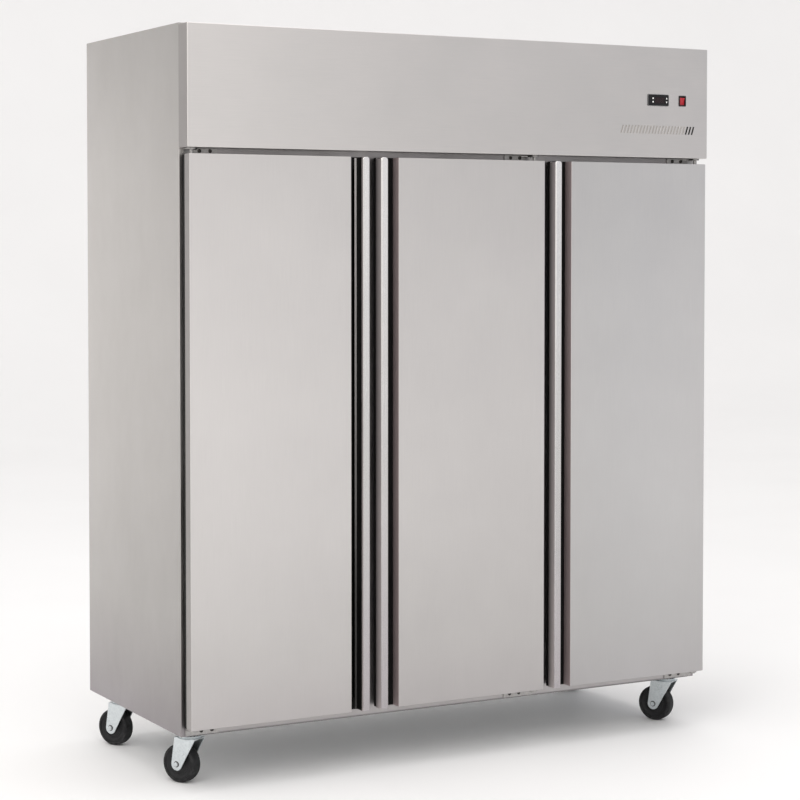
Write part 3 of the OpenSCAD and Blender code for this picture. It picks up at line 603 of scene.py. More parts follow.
def slab(outline, holes, t):
    """A flat sheet with holes, from z 0 to z t, as a closed solid."""
    bm = filled(outline, holes)
    top = bmesh.ops.extrude_face_region(bm, geom=bm.faces[:])["geom"]
    bmesh.ops.translate(bm, verts=[g for g in top if isinstance(g, bmesh.types.BMVert)], vec=(0, 0, t))
    return bm


def shifted(outline, by):
    return [(x + by[0], y + by[1]) for x, y in outline]


def grown(outline, by):
    """A convex outline moved out by a distance, or in where it is negative."""
    count = len(outline)
    area = sum(outline[i - 1][0] * outline[i][1] - outline[i][0] * outline[i - 1][1] for i in range(count))
    sign = 1 if area > 0 else -1
    moved = []
    for i, p in enumerate(outline):
        a = (Vector(p) - Vector(outline[i - 1])).normalized()
        b = (Vector(outline[(i + 1) % count]) - Vector(p)).normalized()
        way = Vector((a.y + b.y, -a.x - b.x)) * sign
        moved.append(tuple(Vector(p) + way * by / max(0.2, 1 + a.dot(b))))
    return moved


# Maps that lay flat work onto the cabinet: its XY becomes the named plane, and its Z the way into the cabinet
FRONT = Matrix(((1, 0, 0, 0), (0, 0, 1, 0), (0, 1, 0, 0), (0, 0, 0, 1)))
BACK = Matrix(((1, 0, 0, 0), (0, 0, -1, 0), (0, 1, 0, 0), (0, 0, 0, 1)))
LEFT = Matrix(((0, 0, 1, 0), (1, 0, 0, 0), (0, 1, 0, 0), (0, 0, 0, 1)))
RIGHT = Matrix(((0, 0, -1, 0), (1, 0, 0, 0), (0, 1, 0, 0), (0, 0, 0, 1)))


def at(x, y, z):
    return Matrix.Translation((x, y, z))


def turned(degrees, axis):
    return Matrix.Rotation(math.radians(degrees), 4, axis)


def mm_box(node):
    low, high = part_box(node)
    return low / MM, high / MM


# ---------------------------------------------------------------- cabinet shell

low, high = mm_box("side_panel_left")
HALF_W, Y_FACE, Y_BACK, Z_BASE, Z_TOP = -low.x, low.y, high.y, low.z, high.z
FLANGE = high.x - low.x
X_SEAM = HALF_W - FLANGE                # where the side panels' flanges meet the front and back sheets
Y_DOOR = mm_box("header_panel")[0].y
Z_DECK = mm_box("header_panel")[0].z
X_IN = mm_box("inner_liner")[1].x
Y_IN = mm_box("inner_liner")[1].y
Z_IN = (mm_box("inner_liner")[0].z, mm_box("inner_liner")[1].z)
POST_X, POST_W = 277.25, 108            # a post's shelf rails and its width
GLAND = (590, Z_DECK + 60)              # centre of the cable gland in the back panel


def make_side_panels():
    for side, place, x in (("left", LEFT, -HALF_W), ("right", RIGHT, HALF_W)):
        bm = pan((Y_FACE, Z_BASE, Y_BACK, Z_TOP), FLANGE, 1.6, 1.6)
        bm.transform(at(x, 0, 0) @ place)
        finish_piece("side_panel_" + side + "_sheet", bm, STEEL_SIDE, "cabinet", ["side_panel_" + side])


def make_back():
    """The back sheet with pressed louvres, a cable hole and screws along its seams."""
    wide, tall, pitch = 220, 8, 18
    blade_side = [(0, 8.4), (0, 7.0), (-3, 4.0), (-7, 0.5)]
    holes, louvres = [], bmesh.new()
    for x in (-420, -110, 200):
        for row in range(12):
            z = Z_DECK + 60 + row * pitch
            holes.append(round_rect(x, z, x + wide, z + tall, 3.9, 3))
            blade = strip(blade_side, [(x + 2, x + wide - 2)] * len(blade_side))
            merge(louvres, blade, place=at(0, Y_BACK - SHEET, z) @ LEFT)
    holes.append(circle(GLAND, 11.5))
    heights = (Z_BASE + 20, 700, 1200, Z_DECK + 20, Z_TOP - 20)
    fixings = [(x, z) for x in (-785, -395, 0, 395, 785) for z in heights]
    holes += [circle(spot, 4.6) for spot in fixings]
    bm = filled(rect(-X_SEAM, Z_BASE, X_SEAM, Z_TOP), holes)
    bm.transform(at(0, Y_BACK, 0) @ BACK)
    finish_piece("back_panel_sheet", bm, STEEL_SIDE, "cabinet", ["back_panel"],
                 sheet=SHEET, out=(0, 1, 0))
    finish_piece("back_louvres", louvres, STEEL_SIDE, "cabinet", sheet=0.7, out=(0, 0.6, -0.8))
    screws = bmesh.new()
    for x, z in fixings:
        merge(screws, screw(4.2, 1.4), None, at(x, Y_BACK - 1.45, z) @ turned(-90, "X"))
    # the dark cross on each zinc head is painted shade of the cross recess
    finish_piece("back_screws", screws, [ZINC, SCREW_DARK], "cabinet")


def make_face_frame():
    """The sheet round the opening, with a strip below it and a strip behind the upper hinges."""
    opening = round_rect(-X_IN + SHEET, Z_IN[0] + SHEET, X_IN - SHEET, Z_IN[1] - SHEET, 6, 4)
    bm = filled(rect(-X_SEAM, Z_BASE, X_SEAM, Z_DECK), [opening])
    bm.transform(at(0, Y_FACE, 0) @ FRONT)
    finish_piece("face_frame_sheet", bm, STEEL_FRAME, "cabinet", ["face_frame"],
                 sheet=SHEET, out=(0, -1, 0))


def make_posts():
    """The two posts between the openings, each with a dark seam near both edges."""
    posts = bmesh.new()
    low, high = mm_box("mullions")
    tall = high.z - low.z
    for way in (-1, 1):
        a, b = sorted((way * high.x, way * (high.x - POST_W)))
        merge(posts, prism(round_rect(a, low.y, b, high.y, 3, 4), tall), place=at(0, 0, low.z))
        for x in (a + 16, b - 17):
            seam = prism(round_rect(x, low.y - 0.3, x + 1, low.y + 1, 0.3, 2), tall - 60)
            merge(posts, seam, place=at(0, 0.3, low.z + 30), index=1)
    finish_piece("mullion_posts", posts, [STEEL_FRAME, BLACK], "cabinet", ["mullions"])


def make_liner():
    """A deep tray with coved corners, open at the front."""
    bm = pan((-X_IN, Z_IN[0], X_IN, Z_IN[1]), Y_IN - Y_FACE - SHEET, 10, 12)
    bm.transform(at(0, Y_IN, 0) @ BACK)
    finish_piece("liner_shell", bm, STEEL_LINER, "cabinet", ["inner_liner"])


def dress(node, material):
    """Keeps a CAD node as it is, with a finish."""
    mesh = frame["nodes"][node].data
    mesh.materials.clear()
    mesh.materials.append(material)


# ---------------------------------------------------------------- header

SLOTS, OPEN_SLOTS = 24, 3
SLOT_X, SLOT_Z, SLOT_PITCH = 515, 1738, 10.75
SLOT = ((0, 0), (4.5, 0), (11.5, 22), (7, 22))
CTRL_X, SWITCH_X, FITTING_Z = 645, 730.5, 1834
KEY_AT = {"set": (-19, 5), "defrost": (-19, -5), "up": (28.5, 5), "down": (28.5, -5)}
FACE, DISPLAY = -2.0, -1.5              # depths of the controller's front and of its sunk display


def make_header():
    """The folded header sheet. Its slots are shallow pockets, except the last ones, which go through."""
    top = Z_TOP - 4
    bend = 2.0
    skin = bmesh.new()
    merge(skin, moulded((-HALF_W, Z_DECK, HALF_W, top), fold(bend) + [(0, Y_FACE - Y_DOOR)], bend))
    edge = round_rect(-HALF_W + bend, Z_DECK + bend, HALF_W - bend, top - bend, 0.05)
    holes = [rect(x - across, FITTING_Z - up, x + across, FITTING_Z + up)
             for x, across, up in ((CTRL_X, 35.5, 14.5), (SWITCH_X, 11, 13.8))]
    pocket = ((0.7, 0), (0.45, 0.1), (0.15, 0.4), (0, 0.9), (0, 1.5))
    for i in range(SLOTS):
        slot = shifted(SLOT, (SLOT_X + i * SLOT_PITCH, SLOT_Z))
        if i < SLOTS - OPEN_SLOTS:
            holes.append(grown(slot, pocket[0][0]))
            # the pockets take the darker slot steel: painted shade inside them
            merge(skin, loft([raised(grown(slot, by), z) for by, z in pocket], cap_last=True), 2)
        else:
            holes.append(grown(slot, 0.5))
    merge(skin, filled(edge, holes))
    skin.transform(at(0, Y_DOOR, 0) @ FRONT)
    # the returns take the darker return steel: painted shade
    mark_returns(skin, 1)
    finish_piece("header_skin", skin, [STEEL_HEADER, STEEL_RETURN_SHADED, STEEL_SLOT_SHADED], "cabinet", ["header_panel"],
                 sheet=0.75, out=(0, -1, 0))


def make_filter():
    """The dark filter behind the open slots."""
    first = SLOT_X + (SLOTS - OPEN_SLOTS) * SLOT_PITCH
    last = first + OPEN_SLOTS * SLOT_PITCH
    pad = box((first - 4, Y_DOOR + 1.7, SLOT_Z - 8), (last + 12, Y_DOOR + 9, SLOT_Z + 30), 0.8)
    finish_piece("filter_pad", pad, FILTER, "cabinet")


def make_controller():
    """A bezel with a soft edge, its front pierced for the window and the keys, and a sunk display."""
    bezel = [(1.6, 0), (0, 0), (0, -0.9), (0.25, -1.45), (0.8, -1.85), (1.6, FACE)]
    bm = moulded((-37.5, -17.25, 37.5, 17.25), bezel, 4, (True, False), 6)
    window = round_rect(-13, -9.5, 22, 9.5, 1.4, 4)
    wells = [circle(spot, 3.35) for spot in KEY_AT.values()]
    merge(bm, filled(round_rect(-35.9, -15.65, 35.9, 15.65, 2.4, 6), [window] + wells, FACE))
    merge(bm, loft([raised(window, FACE), raised(window, DISPLAY)], cap_last=True), 1)
    for well in wells:
        merge(bm, loft([raised(well, FACE), raised(well, -0.6)], cap_last=True))
    pale_rim = [(0, -1.50), (0.25, -1.80), (0.75, -2.0), (0.95, -1.9)]
    merge(bm, moulded((-37.2, -16.95, 37.2, 16.95), pale_rim, 3.8), 3)
    for x in (-6.5, 2.5, 11.5):
        for bar in digit(x, 7.4, 12.4):
            merge(bm, bar, 2)
    for y in (6.0, -6.0):
        merge(bm, lathe([(0.8, DISPLAY), (0.7, -1.58), (0, -1.6)], 16), 2, at(18.8, y, 0))
    merge(bm, box((-35.3, -14.3, 0.05), (35.3, 14.3, 57.5), 1.5))
    bm.transform(at(CTRL_X, Y_DOOR, FITTING_Z) @ FRONT)
    finish_piece("controller_case", bm, [BLACK_GLOSS, DARK_WINDOW, UNLIT_DIGIT, PALE_RIM], "cabinet",
                 ["controller"])


def digit(x, wide, tall):
    """The seven unlit bars of one digit."""
    slim, half = 0.55, tall / 2
    for y in (-half, 0, half):
        yield digit_bar((x, y), 2.2, slim, False)
    for across in (-wide / 2 + 0.6, wide / 2 - 0.6):
        for y in (-half / 2, half / 2):
            yield digit_bar((x + across, y), half / 2 - 0.5, slim, True)


def digit_bar(centre, reach, slim, upright):
    """One pointed bar of a digit, 0.05 mm thick, just in front of the sunk display."""
    shape = [(-reach, 0), (-reach + slim, -slim), (reach - slim, -slim), (reach, 0), (reach - slim, slim),
             (-reach + slim, slim)]
    if upright:
        shape = [(b, a) for a, b in shape]
    bm = prism(shifted(shape, centre), 0.05)
    bm.transform(at(0, 0, DISPLAY - 0.06))
    return bm


def make_keys():
    """Four round keys, two with an arrow and two with a dot."""
    cap = [(0, 3.4), (3.15, 3.4), (3.15, -2.2), (3.05, -2.42), (2.85, -2.52), (0, -2.55)]
    for key, (x, y) in KEY_AT.items():
        bm = lathe(cap, 32)
        if key in ("up", "down"):
            way = 1 if key == "up" else -1
            arrow = [(-2.4, -1.7 * way), (2.4, -1.7 * way), (0.5, 2.8 * way), (-0.5, 2.8 * way)]
            merge(bm, prism(arrow, 0.1, 0.03, 1), 1, at(0, 0, -2.62))
        else:
            merge(bm, lathe([(2.4, -2.5), (2.4, -2.58), (2.3, -2.6), (0, -2.6)], 28), 1)
        bm.transform(at(CTRL_X + x, Y_DOOR, FITTING_Z + y) @ FRONT)
        finish_piece("key_cap_" + key, bm, [BLACK_GLOSS, WHITE_MARK], "button_" + key, ["key_" + key])


def make_switch():
    """A rim round the rocker, a well behind it, and the body behind the panel."""
    bm = bmesh.new()
    rim = [(0, 0), (0, -0.9), (0.25, -1.5), (0.9, -1.9), (1.6, -2.0), (3.0, -2.0), (3.7, -1.6),
           (3.95, -0.8), (4.0, 4.0)]
    merge(bm, moulded((-12.75, -15.5, 12.75, 15.5), rim, 2.5, (False, True)))
    merge(bm, box((-10.8, -13.6, 4.2), (10.8, 13.6, 29.5), 1.0))
    bm.transform(at(SWITCH_X, Y_DOOR, FITTING_Z) @ FRONT)
    finish_piece("switch_rim", bm, BLACK_GLOSS, "cabinet", ["switch_housing"])


def make_rocker():
    """The rocker's front is a shallow V with grip ribs on both halves. Its outline is (height, depth)."""
    wide, dip, reach = 16.8, -4.8, 9.7
    outline = [(-10.4, -6.4), (-reach, -6.6), (0, dip), (reach, -6.6), (10.4, -6.4), (10.4, -2.2),
               (5, 4.8), (-5, 4.8), (-10.4, -2.2)]
    bm = prism(outline, wide, 0.45, 3)
    for y in (5.2, 6.6, 8.0, -5.2, -6.6, -8.0):
        depth = dip - abs(y) * 1.8 / reach
        merge(bm, prism(circle((y, depth + 0.05), 0.33, 12), 12.0), place=at(0, 0, 2.4))
    bm.transform(Matrix(((0, 0, 1, -wide / 2), (0, 1, 0, 0), (1, 0, 0, 0), (0, 0, 0, 1))))
    bm.transform(at(SWITCH_X, Y_DOOR + 7, FITTING_Z) @ turned(9, "X"))
    finish_piece("rocker_cap", bm, RED, "rocker", ["switch_rocker"])


# ---------------------------------------------------------------- doors

FACE_W, BAR_X, DOOR_W = 466, 500, 521   # across a door: its face, the pull bar's near side, the whole
PAN_D, GROOVE_D, BACK_D, DOOR_D = 30, 35, 42, 55
LIP = 3                                 # how far the pull bar stands out of the face
low, high = mm_box("door_skin_left")
Z_DOOR = (low.z, high.z)
TALL = high.z - low.z
PIVOT = (18, 27)


def door_map(side):
    """The matrix from a door's own millimetres to the frame: X from the hinge edge, Y back from the face."""
    low, high = mm_box("door_skin_" + side)
    if side == "left":
        return at(low.x, Y_DOOR, 0)
    return at(high.x, Y_DOOR, 0) @ Matrix.Diagonal((-1, 1, 1, 1))


def make_door_face(side, place, body):
    """A folded tray of brushed sheet, and two strips along its groove: the groove wall in darker steel,
    painted shade, and a strip at the bar's foot whose pale colour, fading out towards the bottom, is a
    painted highlight.
    """
    low, high = Z_DOOR
    bm = pan((0, low, FACE_W, high), PAN_D, 1.6, 1.6)
    bm.transform(FRONT)
    # the returns take the darker return steel: painted shade
    mark_returns(bm, 1)
    # the returns on the groove side take the darker groove steel: painted shade
    for face in bm.faces:
        if face.material_index == 1 and face.calc_center_median().x > FACE_W / 2:
            face.material_index = 2
    bm.transform(place)
    finish_piece("door_face_" + side, bm, [STEEL_DOOR, STEEL_RETURN_SHADED, STEEL_GROOVE_SHADED], body,
                 ["door_skin_" + side])
    # the groove wall, in the darker groove steel: painted shade
    wall = prism(rect(FACE_W - SHEET, PAN_D - 0.05, FACE_W, GROOVE_D), TALL - 1)
    wall.transform(place @ at(0, 0, low + 0.5))
    finish_piece("door_face_return_" + side, wall, STEEL_GROOVE_SHADED, body)
    # a steel strip at the bar's foot; its pale colour, fading out towards the bottom, is a painted highlight
    foot = prism(rect(BAR_X - 6.5, GROOVE_D - 0.75, BAR_X - 0.9, GROOVE_D + 0.2), TALL - 4, 0.2, 1)
    foot.transform(place @ at(0, 0, low + 2))
    finish_piece("bar_foot_" + side, foot, STEEL_FOOT_HIGHLIGHT, body)


def make_door_moulding(side, place, body):
    """Black plastic: the mitred rim, the grip channel, the core of the pull bar and the hinge bushes."""
    low, high = Z_DOOR
    rim = [(34, PAN_D), (0.8, PAN_D), (0.2, PAN_D + 0.6), (0, PAN_D + 1.5), (0, BACK_D - 2),
           (0.6, BACK_D - 0.6), (2, BACK_D), (34, BACK_D), (34, PAN_D)]
    bm = moulded((0, low, DOOR_W, high), rim, 2.5)
    bm.transform(FRONT)
    # The rim gives way to the deeper channel floor
    for v in bm.verts:
        if v.co.y < GROOVE_D and v.co.x > FACE_W + 1:
            v.co.y = GROOVE_D
    channel = [(FACE_W, BACK_D - 0.5), (FACE_W, GROOVE_D - 2.0)]
    channel += arc((FACE_W + 2, GROOVE_D - 2), 2, 180, 90, 4)[1:]
    channel += arc((BAR_X - 1.8, GROOVE_D - 1), 1, 90, 0, 4)
    channel += [(BAR_X - 0.8, 7), (BAR_X - 0.3, 6.3), (BAR_X, 6.3), (BAR_X, BACK_D - 0.5)]
    merge(bm, prism(channel, TALL - 0.6), place=at(0, 0, low + 0.3))
    core = round_rect(BAR_X + 1, -1.9, DOOR_W - 1.1, GROOVE_D + 1, 2.8, 4)
    merge(bm, prism(core, TALL - 5, 1.5, 2), place=at(0, 0, low + 1))
    lower = [(5.3, 0.2), (11.5, 0.2), (12, 0.7), (12, 3), (9, 3.2), (9, 29), (5.3, 29), (5.3, 0.2)]
    upper = [(5.3, 0), (9, 0), (9, 25.7), (8.6, 26), (5.3, 26), (5.3, 0)]
    for z, bush in ((low - 3, lower), (high - 26, upper)):
        merge(bm, lathe(bush, 32), place=at(*PIVOT, z))
    bm.transform(place)
    finish_piece("door_moulding_" + side, bm, BLACK, body, ["door_frame_" + side])


def rounding(radius, depth):
    """How far a rounded edge lies inside its square outline, at a depth below its crest."""
    return radius - math.sqrt(max(0.0, radius ** 2 - (radius - min(depth, radius)) ** 2))


def bar_loop(v, inset):
    """The pull bar's outline, seen from the front, at a depth v behind the door face."""
    round_out, round_in = rounding(4, v + LIP), rounding(1.5, v + LIP)
    x0, x1 = BAR_X + round_in + inset, DOOR_W - round_out - inset
    z0, z1 = Z_DOOR[0] + round_in + inset, Z_DOOR[1] - round_in * 1.5 - inset
    r = 6 - inset
    ring = [(x0, z0), (x1, z0)] + arc((x1 - r, z1 - r), r, 0, 90, 8) + arc((x0 + r, z1 - r), r, 90, 180, 8)
    return [(x, v, z) for x, z in ring]


def make_pull_bar(side, place, body):
    """A bright cover with a round outer edge and rounded top corners, open behind. Its sides that look along
    X take a darker, brownish steel: painted shade.
    """
    depths = [-LIP + 4 * (1 - math.cos(math.radians(a))) for a in (0, 12, 24, 38, 52, 70, 90)] + [PAN_D - 2]
    outer = [bar_loop(v, 0) for v in depths]
    inner = [[(x, max(y, -LIP + SHEET), z) for x, y, z in bar_loop(v, SHEET)] for v in depths[::-1]]
    bm = loft(outer + inner, True, True)
    # the sides take the darker, brownish bar side steel: painted shade
    mark_returns(bm, 1, 0.95)
    bm.transform(place)
    finish_piece("pull_bar_" + side, bm, [STEEL_BAR, BAR_SIDE_SHADED], body, ["door_handle_" + side],
                 smooth=50)


def make_door_pan(side, place, body):
    """The door's inner sheet: a pressed panel with a raised, soft-edged field."""
    profile = [(0, BACK_D), (0, BACK_D + SHEET), (24, BACK_D + SHEET)]
    for a in (math.radians(degrees) for degrees in (20, 45, 70, 90)):
        profile.append((24 + 6 * math.sin(a), BACK_D + SHEET + 3 * (1 - math.cos(a))))
    for a in (math.radians(degrees) for degrees in (0, 25, 50, 75, 90)):
        profile.append((31 + 6 * (1 - math.cos(a)), BACK_D + 7 - 3.2 * (1 - math.sin(a))))
    bm = moulded((37, Z_DOOR[0] + 31, 497, Z_DOOR[1] - 31), profile, 6, (True, True), 6)
    bm.transform(place @ FRONT)
    finish_piece("door_pan_" + side, bm, STEEL_LINER, body, ["door_liner_" + side])


def make_gasket(side, place, body):
    """A dart foot, two bellows folds and a magnet strip."""
    at_hinge, at_free, at_end = 16, 3, 10
    profile = [(0, 42.0), (0.2, 43.4), (1.6, 44.4), (4.2, 44.8), (3.2, 46.2), (3.2, 47.4), (5.0, 48.6),
               (3.6, 50.0), (3.0, 51.4), (3.0, 53.6), (4.0, 54.6), (15.6, 54.6), (16.8, 53.6), (16.8, 51.4),
               (15.4, 50.0), (14.6, 48.6), (16.6, 47.2), (16.4, 46.0), (15.4, 44.8), (18.4, 44.4),
               (19.8, 43.4), (20, 42.0), (0, 42.0)]
    ring = (at_hinge, Z_DOOR[0] + at_end, DOOR_W - at_free, Z_DOOR[1] - at_end)
    bm = moulded(ring, profile, 1.2, count=2)
    bm.transform(place @ FRONT)
    finish_piece("gasket_bellows_" + side, bm, GASKET, body, ["door_gasket_" + side],
                 smooth=60)


def make_door(side):
    place, body = door_map(side), "door_" + side
    make_door_face(side, place, body)
    make_door_moulding(side, place, body)
    make_pull_bar(side, place, body)
    make_door_pan(side, place, body)
    make_gasket(side, place, body)
    dress("door_core_" + side, FOAM)


def make_hinges(side):
    """A folded steel bracket above and below the door, each with its pin and countersunk screws."""
    place = door_map(side)
    out, wide, arm = 12, 95, 40
    x0 = PIVOT[0] - out
    pin = [(0, 0), (4.4, 0), (5, 0.6), (5, 23.4), (4.4, 24), (0, 24)]
    for name, leg, shelf in (("top", (Z_DOOR[1] + 1.5, Z_DECK - 0.5), Z_DECK - 4.5),
                             ("bottom", (Z_BASE + 3, Z_DOOR[0] - 3.4), Z_DOOR[0] - 7.4)):
        bm = prism(round_rect(x0, leg[0], x0 + wide, leg[1], 2.5, 4), 3, 0.5, 2)
        bm.transform(at(0, DOOR_D - 3, 0) @ FRONT)
        tongue = [(x0, DOOR_D - 0.1), (x0, PIVOT[1])] + arc(PIVOT, out, 180, 360, 14)[1:-1]
        tongue += [(x0 + 24, PIVOT[1]), (x0 + 25, DOOR_D - 14), (x0 + arm, DOOR_D - 3),
                   (x0 + arm, DOOR_D - 0.1)]
        merge(bm, prism(tongue, 4, 0.6, 2), 0, at(0, 0, shelf))
        if name == "top":
            reach = (Z_DECK - 4 - Z_DOOR[1] + 20) / 24
            merge(bm, lathe([(r, z * reach) for r, z in pin], 28), 0, at(*PIVOT, Z_DOOR[1] - 20))
        else:
            merge(bm, lathe(pin, 28), 0, at(*PIVOT, Z_DOOR[0] - 4))
            merge(bm, hex_head(8.5, 3.2), 0, at(*PIVOT, shelf - 3.2))
        for x in (45, 75):
            head = screw(5.2, 2.4)
            head.transform(at(x0 + x, DOOR_D - 3, (leg[0] + leg[1]) / 2) @ turned(90, "X"))
            # the raised crosses take black: painted shade of the cross recesses
            for face in head.faces:
                face.material_index += 1
            merge(bm, head, None)
        bm.transform(place)
        nodes = ["hinge_brackets_" + name] if side == "left" else []
        finish_piece("hinge_" + name + "_" + side, bm, [HINGE, SCREW_DARK, BLACK], "cabinet", nodes)


# ---------------------------------------------------------------- casters

WHEEL_R, TRAIL, FORK_IN, FORK_T = 51, 28, 21, 3
YOKE_Z, PLATE_Z = 120, 136              # undersides of the fork's crown and of the top plate


def leg_outline(r, front, rear, count=18):
    """The side of a fork leg: a round end at the axle and straight flanks up to the crown."""
    axle = Vector((TRAIL, WHEEL_R))

    def touch(p, way):
        d = axle - Vector(p)
        a = math.atan2(d.y, d.x) + way * math.asin(r / d.length)
        reach = math.sqrt(d.length_squared - r * r)
        return (p[0] + reach * math.cos(a), p[1] + reach * math.sin(a))

    one, two = touch(front, -1), touch(rear, 1)
    start = math.degrees(math.atan2(one[1] - axle.y, one[0] - axle.x))
    stop = math.degrees(math.atan2(two[1] - axle.y, two[0] - axle.x))
    if stop < start:
        stop += 360
    return [front] + arc(axle, r, start, stop, count) + [rear]


def make_caster_mount(corner, spot):
    """Top plate, upper race, kingpin and bolts, which stay with the cabinet."""
    race = [(0, 136.2), (27, 136.2), (29.5, 135.6), (31, 134.2), (31, 131.6), (30.2, 131.0), (24, 131.2),
            (0, 131.2)]
    bm = bmesh.new()
    merge(bm, prism(round_rect(-46, -37, 46, 37, 9, 6), 4, 0.7, 2), place=at(0, 0, PLATE_Z))
    merge(bm, lathe(race))
    merge(bm, lathe([(0, 112.4), (5.6, 112.4), (6, 112.9), (6, 132), (0, 132)], 24))
    merge(bm, hex_head(10, 7), place=at(0, 0, 119.4) @ turned(180, "X"))
    for x in (-36, 36):
        for y in (-28, 28):
            washer = lathe([(0, 0), (7.4, 0), (7.4, 0.6), (7.2, 0.8), (0, 0.8)], 24)
            merge(bm, hex_head(6, 4.2), place=at(x, y, 135.6) @ turned(180, "X"))
            merge(bm, washer, place=at(x, y, 135.3))
    bm.transform(spot)
    nodes = ["caster_plates"] if corner == CORNERS[0] else []
    finish_piece("caster_mount_" + corner, bm, ZINC, "cabinet", nodes)


def make_fork(corner, place):
    """Pressed crown with the lower race, balls, two legs with rolled edges, and the axle bolt."""
    race = [(6.1, 120.1), (24, 120.1), (29.5, 120.4), (32.2, 121.4), (33, 122.6), (32.4, 123.6), (31, 124.2),
            (30.2, 125.4), (30.0, 127.6), (29.2, 128.8), (26, 129.2), (25.4, 130.5), (6.1, 130.5),
            (6.1, 120.1)]
    crown = [(-24, -28), (-20, -32), (20, -32), (24, -28), (24, 31), (20, 35), (-20, 35), (-24, 31)]
    bm = bmesh.new()
    merge(bm, lathe(race, 56))
    merge(bm, prism(crown, 3.6, 1.2, 3), place=at(0, 0, YOKE_Z + 0.2))
    for way in (-1, 1):
        leg = prism(leg_outline(17, (-32, YOKE_Z + 2.5), (35, YOKE_Z + 2.5)), FORK_T, 0.9, 3)
        merge(bm, leg, place=at(FORK_IN if way > 0 else -FORK_IN - FORK_T, 0, 0) @ LEFT)
        end = at((FORK_IN + FORK_T) * way, TRAIL, WHEEL_R) @ turned(90 * way, "Y")
        nut = hex_head(6.6, 4.2)
        merge(nut, lathe([(0, 3.9), (3.4, 3.9), (3.1, 4.8), (0, 4.95)], 20))
        merge(bm, nut, None, end)
        merge(bm, lathe([(0, 0), (8.2, 0), (8.2, 0.5), (7.9, 0.8), (0, 0.8)], 32), 1, end)
    bolt = lathe([(0, -24.2), (5.9, -24.2), (5.9, 24.2), (0, 24.2)], 24)
    merge(bm, bolt, place=at(0, TRAIL, WHEEL_R) @ turned(90, "Y"))
    balls, ring = 18, 27.2
    for i in range(balls):
        ball = bmesh.new()
        bmesh.ops.create_uvsphere(ball, u_segments=12, v_segments=8, radius=2.1)
        a = math.tau * i / balls
        merge(bm, ball, 1, at(ring * math.cos(a), ring * math.sin(a), 130.0))
    bm.transform(place)
    finish_piece("fork_" + corner, bm, [ZINC, SCREW_DARK], "caster_" + corner, ["caster_fork_" + corner])


def make_wheel(corner, place):
    """A crowned tyre bonded to a dished hub with a boss."""
    tyre = [(40.5, 14.6), (42, 16.4), (44.5, 17.0), (47.6, 16.4), (49.9, 14.2), (50.8, 11), (51, 6)]
    hub = [(6.2, 19.6), (12.5, 19.6), (14, 18.6), (14.2, 14.5), (16.5, 12.5), (22, 11.6), (27, 11.6),
           (27.6, 12.4), (29.2, 12.4), (29.8, 11.8), (34.5, 12.6), (37.6, 14.8), (40.2, 15.0), (40.6, 13)]
    bm = lathe(mirrored(tyre), 72)
    merge(bm, lathe(mirrored(hub), 72), 1)
    bm.transform(place @ at(0, TRAIL, WHEEL_R) @ turned(90, "Y"))
    finish_piece("wheel_tyre_" + corner, bm, [TYRE, HUB], "wheel_" + corner, ["caster_wheel_" + corner],
                 smooth=50)


def mirrored(profile):
    """A closed (radius, z) profile from its half above z 0."""
    return profile + [(r, -z) for r, z in profile[::-1]] + [profile[0]]


def make_caster(corner):
    x, y, _ = [v / MM for v in JOINTS["caster_" + corner + "_swivel"]["pos_m"]]
    axle = JOINTS["wheel_" + corner + "_spin"]["axis"]
    spot = at(x, y, 0)
    place = spot @ turned(math.degrees(math.atan2(axle[1], axle[0])), "Z")
    make_caster_mount(corner, spot)
    make_fork(corner, place)
    make_wheel(corner, place)


# ---------------------------------------------------------------- cooling unit

TRAY_Z = Z_DECK + 2
COMP, COMP_Z = (-200, 40), 1684         # the compressor's axis and the underside of its shell
COND_X, COND_Y, COND_H = (20, 320), (-235, -175), 240
COND_MID = (COND_X[0] + COND_X[1]) / 2
COND_FAN_Z = TRAY_Z + COND_H / 2
DISCHARGE_Z, COND_TOP_Z, LIQUID_Z, SUCTION_Z = 1780, 1881, 1701, 1731
EVAP_Z = Z_IN[1] - 147
EVAP_FAN = (170, 40, Z_IN[1] - 73)
COIL_X = 281.5                          # outer face of the coil's end plates


def fan_wheel(r, hub, height, blades, bore):
    """A moulded axial fan on +Z: a domed hub and swept blades with an aerofoil section."""
    bm = lathe([(bore, 0.5), (hub - 3, 0.5), (hub - 2.2, 4), (hub - 2, height - 5), (bore + 3, height - 5),
                (bore + 3, height - 1), (bore, height - 1), (bore, height), (hub - 4, height),
                (hub - 1, height - 1.2), (hub, height - 4), (hub, 0.3), (hub - 3, 0), (bore, 0), (bore, 0.5)])
    for k in range(blades):
        loops = []
        for i in range(9):
            s = i / 8
            radius = hub * 0.96 + (r * 0.985 - hub * 0.96) * s
            chord = (0.34 + 0.30 * math.sin(math.pi * min(1, s * 0.62 + 0.18))) * r
            chord *= 1 - 0.25 * max(0, s - 0.8) / 0.2
            pitch = math.radians(38 - 14 * s)
            middle = math.tau * k / blades + 0.34 * s * s
            upper, lower = [], []
            for j in range(9):
                t = j / 8 - 0.5
                thick = 1.5 * (1 - (2 * t) ** 2) ** 0.5 * (1 - 0.4 * s) + 0.15
                camber = 0.09 * chord * (0.25 - t * t)
                run, rise = t * chord * math.cos(pitch), t * chord * math.sin(pitch) + camber
                angle = middle + run / radius
                for row, way in ((upper, 1), (lower, -1)):
                    z = min(height - 0.3, max(0.3, height / 2 + rise + way * thick / 2))
                    row.append((radius * math.cos(angle), radius * math.sin(angle), z))
            loops.append(upper + lower[::-1])
        merge(bm, loft(loops, True, True))
    return bm


